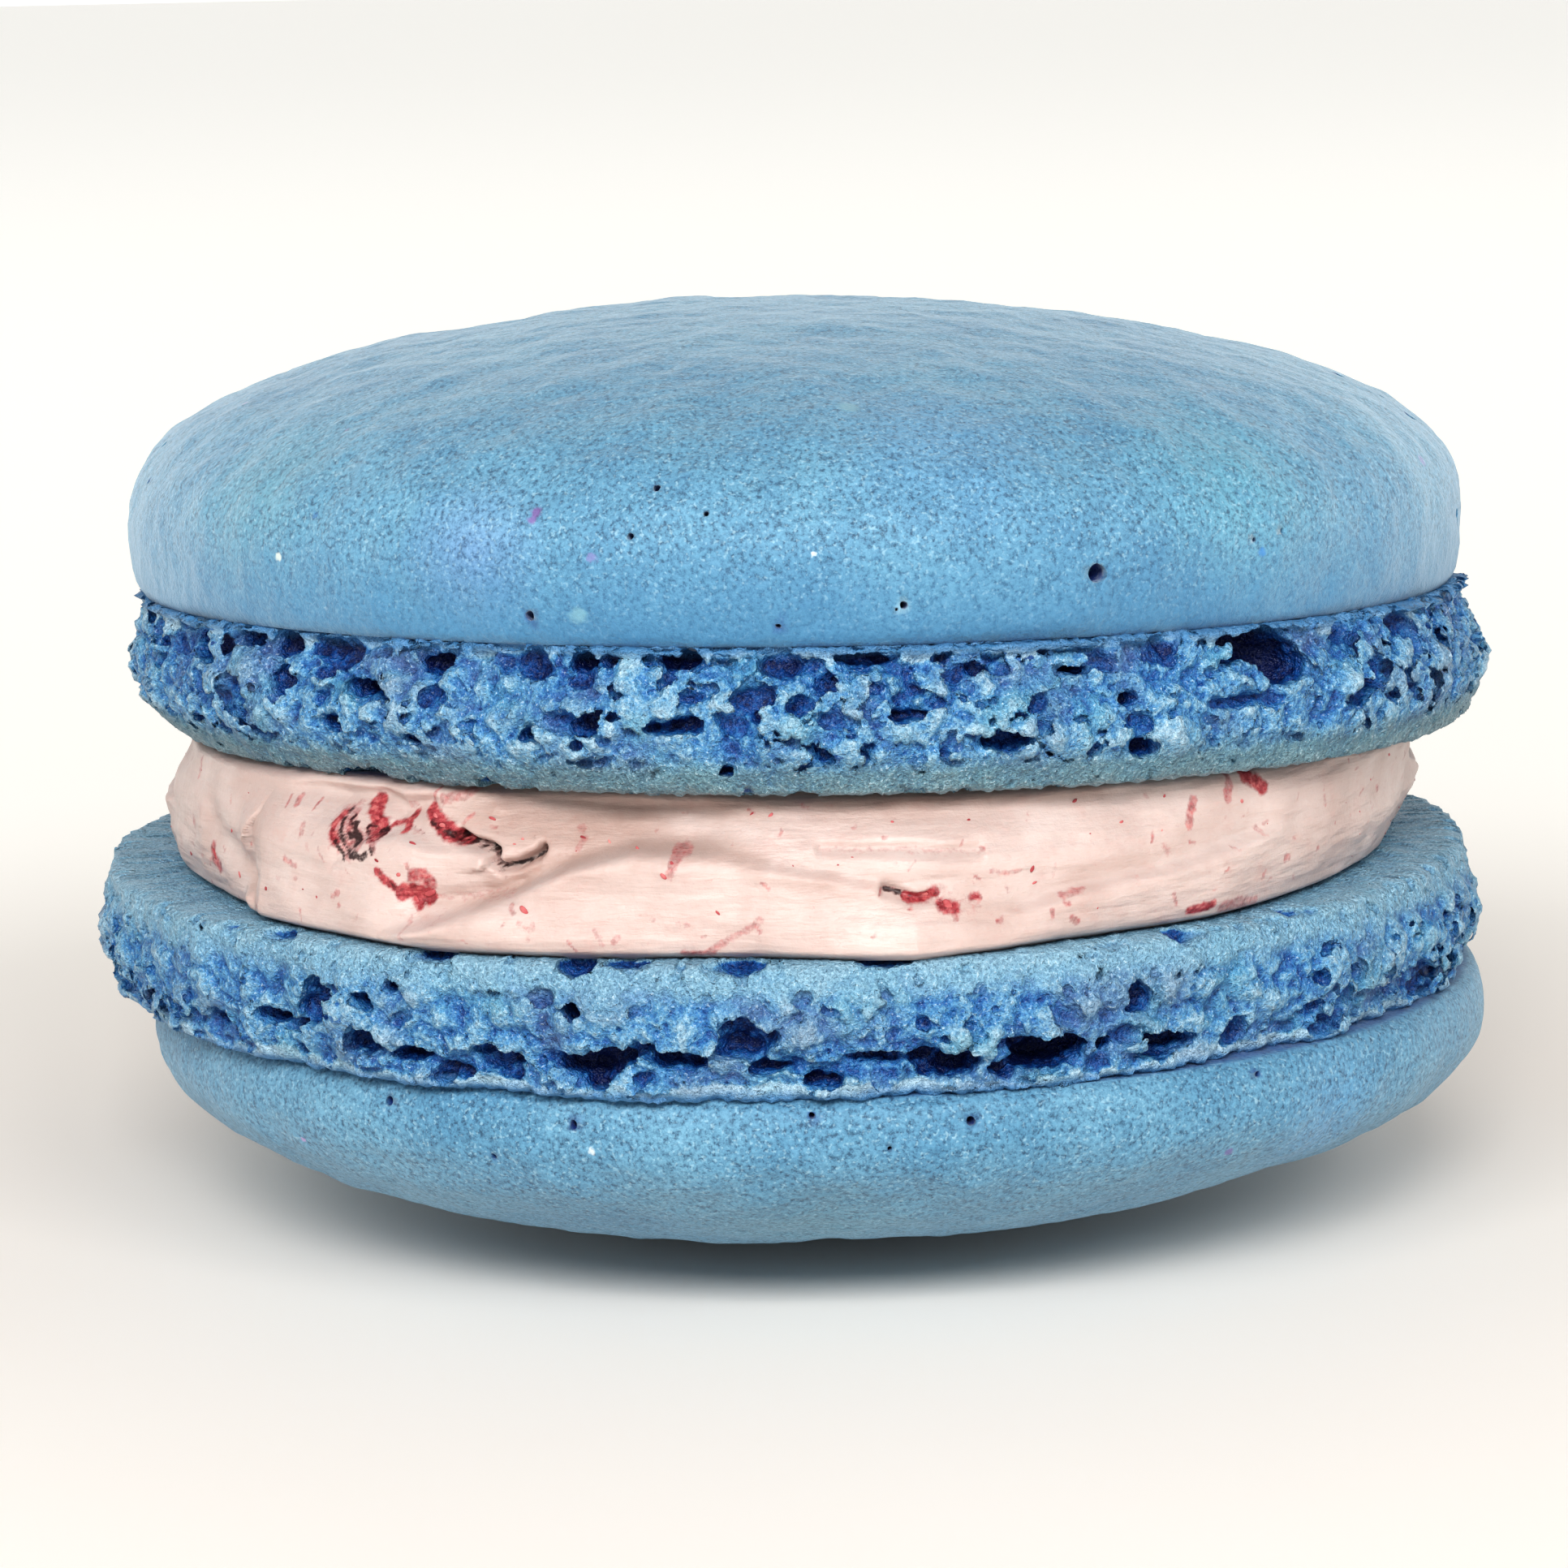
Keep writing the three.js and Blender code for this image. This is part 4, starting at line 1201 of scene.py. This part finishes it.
LOWER["marks"] = (
    (-18.3, 1.56, 0.12, "#dfe8ec"), (7.6, 3.05, 0.10, "#e3ebee"), (34.4, 2.78, 0.15, "#70589c"),
    (-47.1, 2.43, 0.13, "#b78fc0"), (150.0, 2.2, 0.14, "#dfe8ec"), (200.0, 3.2, 0.15, "#70589c"),
)
# Broad patches of colour, written in the same way: other blues of the dye, and on the upper shell a lilac
# patch at -26 degrees that is a painted highlight, repeated at -140 degrees on the back.
UPPER["tints"] = (
    (-26.0, 2.6, 2.6, "#86a3d8"), (38.0, 4.5, 4.5, "#6cb4c4"), (-50.0, 4.0, 4.0, "#74adb8"),
    (12.0, 5.6, 4.0, "#74a8d2"), (120.0, 3.0, 4.0, "#6cb4c4"), (-140.0, 4.0, 4.0, "#86a3d8"),
)
LOWER["tints"] = ((-2.0, 4.5, 4.0, "#6f9fae"), (45.0, 2.5, 3.0, "#5fa3d8"), (160.0, 3.0, 4.0, "#6f9fae"))


def gap_to(tree, place, shell, turn, rise):
    """How far each place is from a spot on the dome."""
    spot = (shell["into_place"] @ on_the_dome(shell, turn, rise)).translation
    return add_node(tree, "VectorMath", {0: place, 1: spot}, operation="DISTANCE").outputs["Value"]


def with_tints(tree, place, colour, shell):
    """Lays each broad tint on the colour, fading out to its radius."""
    for turn, rise, radius, tint in shell["tints"]:
        gap = gap_to(tree, place, shell, turn, rise)
        colour = blend(tree, between(tree, gap, 0.1 * radius, radius, 0.4, 0.0), colour, linear(tint))
    return colour


def with_marks(tree, place, colour, shell):
    """Lays each mark on the colour, with a torn edge."""
    torn = sums(tree, noise_of(tree, place, 0.25, 2), 0.3, -0.15)
    for turn, rise, radius, mark in shell["marks"]:
        ragged = maths(tree, "ADD", gap_to(tree, place, shell, turn, rise), torn)
        cover = between(tree, ragged, 0.6 * radius, 1.2 * radius, 0.75, 0.0)
        colour = blend(tree, cover, colour, linear(mark))
    return colour


# %% Skin
def skin_material(name, shell, patches):
    """Dry blue meringue skin. "patches" are its deep blue, its pale blue and that of small blotches."""
    material, tree = new_material(name)
    place = place_in_mm(tree)
    inside = stored(tree, "inside")
    broad = noise_of(tree, place, 5.0, 5)
    cloudy = ramp(tree, broad, (0.33, patches[0]), (0.67, patches[1]))
    grain = noise_of(tree, place, 0.16, 3, 0.75)
    specks = ramp(tree, grain, (0.34, "#62798c"), (0.48, "#d3dce2"), (0.62, "#ffffff"))
    # Broad patches of the dye's blues, and the painted lilac highlight of the upper shell.
    colour = blend(tree, 0.9, with_tints(tree, place, cloudy, shell), specks, "MULTIPLY")
    blotch = noise_of(tree, place, 0.9, 4, 0.7)
    colour = blend(tree, between(tree, blotch, 0.54, 0.72, 0.0, 0.35), colour, linear(patches[2]))
    flour = noise_of(tree, place, 0.13, 1)
    colour = blend(tree, between(tree, flour, 0.58, 0.74, 0.0, 0.5), colour, linear("#a9cddd"))
    rise = stored(tree, "rise")
    # Painted shade: darker blue towards the seam, where the upper dome curls under.
    colour = blend(tree, between(tree, rise, 0.2, 3.2, shell["blue_seam"], 0.0), colour, linear("#37769f"))
    colour = with_marks(tree, place, colour, shell)
    # Painted shade: near-black blue in the pin holes and on the dome's underside.
    colour = blend(tree, inside, colour, linear("#0a2f7c"))
    relief = relief_of(tree, noise_of(tree, place, 0.9, 1), 0.00010)
    relief = relief_of(tree, grain, 0.00005, below=relief)
    surface_of(
        tree,
        {
            "Base Color": colour,
            "Roughness": 0.55,
            "IOR": 1.45,
            "Normal": relief,
            "Sheen Weight": shell["dust"],
            "Sheen Roughness": 0.5,
            "Sheen Tint": linear("#dcecf6"),
        },
    )
    return material


# %% [markdown]
# # Meringue crumb
# In the foot the skin is torn open into a granular crumb, with sugar that glints in its holes. Colour
# follows the three numbers that each point keeps: holes are painted deep blue as shade, crests pale as
# light.

# %% Crumb
# The crumb's blues from the highest crests to the deepest holes: the pale end is painted light on the crests,
# the deep end painted shade in the holes.
CRUMB_STOPS = (
    (0.0, "#a9cbdf"),
    (0.16, "#86b6d3"),
    (0.34, "#5a9bca"),
    (0.52, "#3279b8"),
    (0.74, "#13509a"),
    (1.0, "#041d58"),
)


def crumb_material(name, rim, seam):
    """Torn crumb: crests painted pale as light, holes painted deep blue as shade, and sugar that glints.

    "rim" and "seam" are the colours of its lower and its upper edge.
    """
    material, tree = new_material(name)
    place = place_in_mm(tree)
    depth = stored(tree, "depth")
    level = stored(tree, "level")
    crest = stored(tree, "crest")
    fine = noise_of(tree, place, 0.16, 3, 0.75)
    patch = noise_of(tree, place, 2.2, 4, 0.6)
    # Painted shade and light: deeper points get a darker blue and points that stand out a paler one, with
    # random tone laid over them.
    blueness = maths(tree, "ADD", sums(tree, depth, 0.45), sums(tree, crest, -1.7, 0.32))
    blueness = maths(tree, "ADD", blueness, sums(tree, fine, 1.0, -0.5))
    blueness = maths(tree, "ADD", blueness, sums(tree, patch, 0.55, -0.27))
    # Darker and bluer towards the seam.
    darker_to_seam = between(tree, level, 0.7, 1.0, 0.0, 0.22)
    colour = ramp(tree, maths(tree, "ADD", blueness, darker_to_seam), *CRUMB_STOPS)
    shallow = between(tree, depth, 0.25, 0.6, 1.0, 0.0)
    dull = between(tree, noise_of(tree, place, 3.1, 2), 0.50, 0.66, 0.0, 0.5)
    colour = blend(tree, maths(tree, "MULTIPLY", dull, shallow), colour, linear("#6b85a8"))
    teal = between(tree, noise_of(tree, place, 1.7, 1), 0.56, 0.72, 0.0, 0.4)
    colour = blend(tree, maths(tree, "MULTIPLY", teal, shallow), colour, linear("#5fa7bf"))
    uneven = sums(tree, noise_of(tree, place, 0.8), 0.12, -0.06)
    uneven_level = maths(tree, "ADD", level, uneven)
    near_rim = between(tree, uneven_level, 0.16, 0.30, 0.75, 0.0)
    colour = blend(tree, maths(tree, "MULTIPLY", near_rim, shallow), colour, linear(rim))
    sugar = noise_of(tree, place, 0.11, 2, 0.7)
    colour = blend(tree, 0.7, colour, ramp(tree, sugar, (0.32, "#8798ab"), (0.6, "#ffffff")), "MULTIPLY")
    lit = between(tree, sugar, 0.60, 0.72, 0.0, 0.6)
    colour = blend(tree, maths(tree, "MULTIPLY", lit, shallow), colour, linear("#cfe2ee"))
    colour = blend(tree, between(tree, uneven_level, 0.90, 0.97, 0.0, 0.85), colour, linear(seam))
    relief = relief_of(tree, noise_of(tree, place, 0.35, 3, 0.7), 0.00015)
    relief = relief_of(tree, sugar, 0.00012, below=relief)
    surface_of(
        tree,
        {
            "Base Color": colour,
            "Roughness": 0.36,
            "IOR": 1.5,
            "Normal": relief,
        },
    )
    return material


def give(piece, material):
    """Makes a material the only one of a piece."""
    piece.data.materials.clear()
    piece.data.materials.append(material)


give(domes[0], skin_material("baked_meringue_skin_upper", UPPER, ("#5890b3", "#70a6c2", "#467da4")))
give(domes[1], skin_material("baked_meringue_skin_lower", LOWER, ("#5a92b3", "#74a7c2", "#4b819f")))
# The upper rim is darker and greyer than the lower one as painted shade under the bulging foot above it, and
# both seam colours are the skin's blue made darker as painted shade along the seam.
give(feet[0], crumb_material("meringue_crumb_upper", "#688b92", "#427fb2"))
give(feet[1], crumb_material("meringue_crumb_lower", "#88b6ce", "#3d7bb0"))

# %% [markdown]
# # Butter cream and berries
# Butter cream is fat with tiny air bubbles: light goes in a little way and comes out warm, so its
# shaded folds glow pink instead of grey. The warm brown in its hollows and under the upper rim is
# painted shade. It is smooth and a little wet.


# %% Butter cream
def cream_material():
    """Smooth pink cream that light goes into, with warm painted shade in its hollows, torn dark red smears
    and a faint wet sheen; where a smear fills a crack its dark is painted shade.
    """
    material, tree = new_material("berry_butter_cream")
    place = place_in_mm(tree)
    shade = stored(tree, "shade")
    red = stored(tree, "red")
    dark = stored(tree, "dark")
    broad = noise_of(tree, place, 3.0, 5)
    body = ramp(tree, broad, (0.36, "#c1aba5"), (0.64, "#cfbdb8"))
    blush = noise_of(tree, place, 0.9, 4, 0.65)
    body = blend(tree, between(tree, blush, 0.55, 0.75, 0.0, 0.22), body, linear("#c08a84"))
    # Painted shade: warm brown in the hollows and under the upper rim.
    body = blend(tree, sums(tree, shade, 0.85), body, linear("#98705f"))
    torn = sums(tree, noise_of(tree, place, 0.14, 2), 0.8, -0.4)
    red = maths(tree, "ADD", red, torn)
    dark = maths(tree, "ADD", dark, torn)
    pulp = noise_of(tree, place, 0.22)
    berry = ramp(tree, pulp, (0.34, "#7a1f27"), (0.52, "#a8434a"), (0.68, "#c8706e"))
    colour = blend(tree, between(tree, red, 0.12, 0.85), body, berry)
    # Near black: dark berry skin in the smears, and painted shade where a smear fills a crack.
    colour = blend(tree, between(tree, dark, 0.30, 0.75, 0.0, 0.92), colour, linear("#1d0b0d"))
    strokes = add_node(tree, "Mapping", {"Vector": place, "Scale": (0.4, 0.4, 2.4)}).outputs[0]
    relief = relief_of(tree, noise_of(tree, strokes, 0.7, 4, 0.55), 0.00008)
    relief = relief_of(tree, noise_of(tree, place, 0.25, 3), 0.00003, below=relief)
    surface_of(
        tree,
        {
            "Base Color": colour,
            "Roughness": 0.42,
            "IOR": 1.46,
            "Normal": relief,
            "Subsurface Weight": 0.2,
            "Subsurface Radius": (1.0, 0.5, 0.4),
            "Subsurface Scale": 0.0006,
        },
    )
    return material


def berry_material():
    """Wet bits of berry: a dark skin here, pale pulp there, and a clear wet shine on both."""
    material, tree = new_material("crushed_berry")
    place = place_in_mm(tree)
    sort = noise_of(tree, place, 1.2, 2)
    surface_of(
        tree,
        {
            "Base Color": ramp(tree, sort, (0.35, "#8e2f37"), (0.52, "#b9575b"), (0.68, "#d68f8b")),
            "Roughness": 0.3,
            "IOR": 1.4,
            "Normal": relief_of(tree, noise_of(tree, place, 0.08), 0.00003),
        },
    )
    return material


give(cream, cream_material())
give(flecks, berry_material())

# %% [markdown]
# # Table and light
# The photo is high key: a white table, a white room, and light from all sides, with most of it from
# above the camera. The table is one pale disc that reaches past the picture. The background is evenly
# white, because it was lit by itself; here the far part of the table glows a little to the same end.

# %% Table
# Sizes in metres.
TABLE_RADIUS = 30.0
FAR_GLOW = 0.50
GLOW_REACH = 0.22
WARM_PATCH = (0.03, 0.09)


def make_table():
    """A matt, nearly white disc, warmer close to the macaron and faintly glowing further out."""
    form = bmesh.new()
    bmesh.ops.create_circle(form, cap_ends=True, segments=96, radius=TABLE_RADIUS)
    mesh = bpy.data.meshes.new("table")
    form.to_mesh(mesh)
    form.free()
    table = new_object("table", mesh)
    material, tree = new_material("white_painted_table")
    where = add_node(tree, "TexCoord").outputs["Object"]
    reach = add_node(tree, "VectorMath", {0: where}, operation="LENGTH").outputs["Value"]
    haze = add_node(tree, "TexNoise", {"Vector": where, "Scale": 14, "Detail": 3}).outputs["Fac"]
    near = ramp(tree, haze, (0.3, "#f1e9e2"), (0.7, "#f5efe9"))
    colour = blend(tree, between(tree, reach, *WARM_PATCH), near, linear("#fbfaf6"))
    fading = maths(tree, "POWER", math.exp(-1 / GLOW_REACH), reach)
    surface_of(
        tree,
        {
            "Base Color": colour,
            "Roughness": 0.7,
            "Emission Color": linear("#fbfaf6"),
            "Emission Strength": sums(tree, fading, -FAR_GLOW, FAR_GLOW),
        },
    )
    table.data.materials.append(material)
    return table


make_table()

# %% Light
ROOM_BEHIND = 0.94
ROOM_BEFORE = 0.10
ROOM_ABOVE = 0.18
# The walls and the ceiling start where a direction's part towards the back, or upwards, passes these.
WALLS_START = (-0.8, 0.1)
CEILING_START = (0.3, 0.5)
LAMP_AIM = Vector((0, 0, 0.015))
LAMP_COLOUR = "#fffdfa"


def make_room():
    """A room with white walls behind and beside the macaron, dim towards the camera and above."""
    world = bpy.data.worlds.new("white_room")
    bpy.context.scene.world = world
    world.use_nodes = True
    tree = world.node_tree
    tree.nodes.clear()
    direction = add_node(tree, "SeparateXYZ", {0: add_node(tree, "TexCoord").outputs["Generated"]}).outputs
    walls = between(tree, direction[1], *WALLS_START, ROOM_BEFORE, ROOM_BEHIND)
    over = between(tree, direction[2], *CEILING_START)
    strength = add_node(tree, "Mix", {0: over, 2: walls, 3: ROOM_ABOVE}).outputs[0]
    light = add_node(tree, "Background", {"Color": linear(LAMP_COLOUR), "Strength": strength})
    add_node(tree, "OutputWorld", {"Surface": light.outputs[0]})


def soft_lamp(name, place, size, power):
    """A lamp with a width and a height at a place in metres, aimed at the macaron."""
    light = bpy.data.lights.new(name, "AREA")
    light.shape = "RECTANGLE"
    light.size, light.size_y = size
    light.energy = power
    light.color = linear(LAMP_COLOUR)[:3]
    lamp = new_object(name, light)
    lamp.location = place
    lamp.rotation_euler = (LAMP_AIM - Vector(place)).to_track_quat("-Z", "Y").to_euler()


make_room()
soft_lamp("lamp_front", (-0.03, -0.76, 0.50), (0.30, 0.24), 4.4)
soft_lamp("lamp_left", (-0.36, -0.70, 0.50), (0.40, 0.24), 2.4)
soft_lamp("lamp_right", (0.36, -0.70, 0.50), (0.40, 0.24), 2.5)
bpy.context.scene.view_settings.view_transform = "Standard"
bpy.context.scene.view_settings.look = "Medium High Contrast"
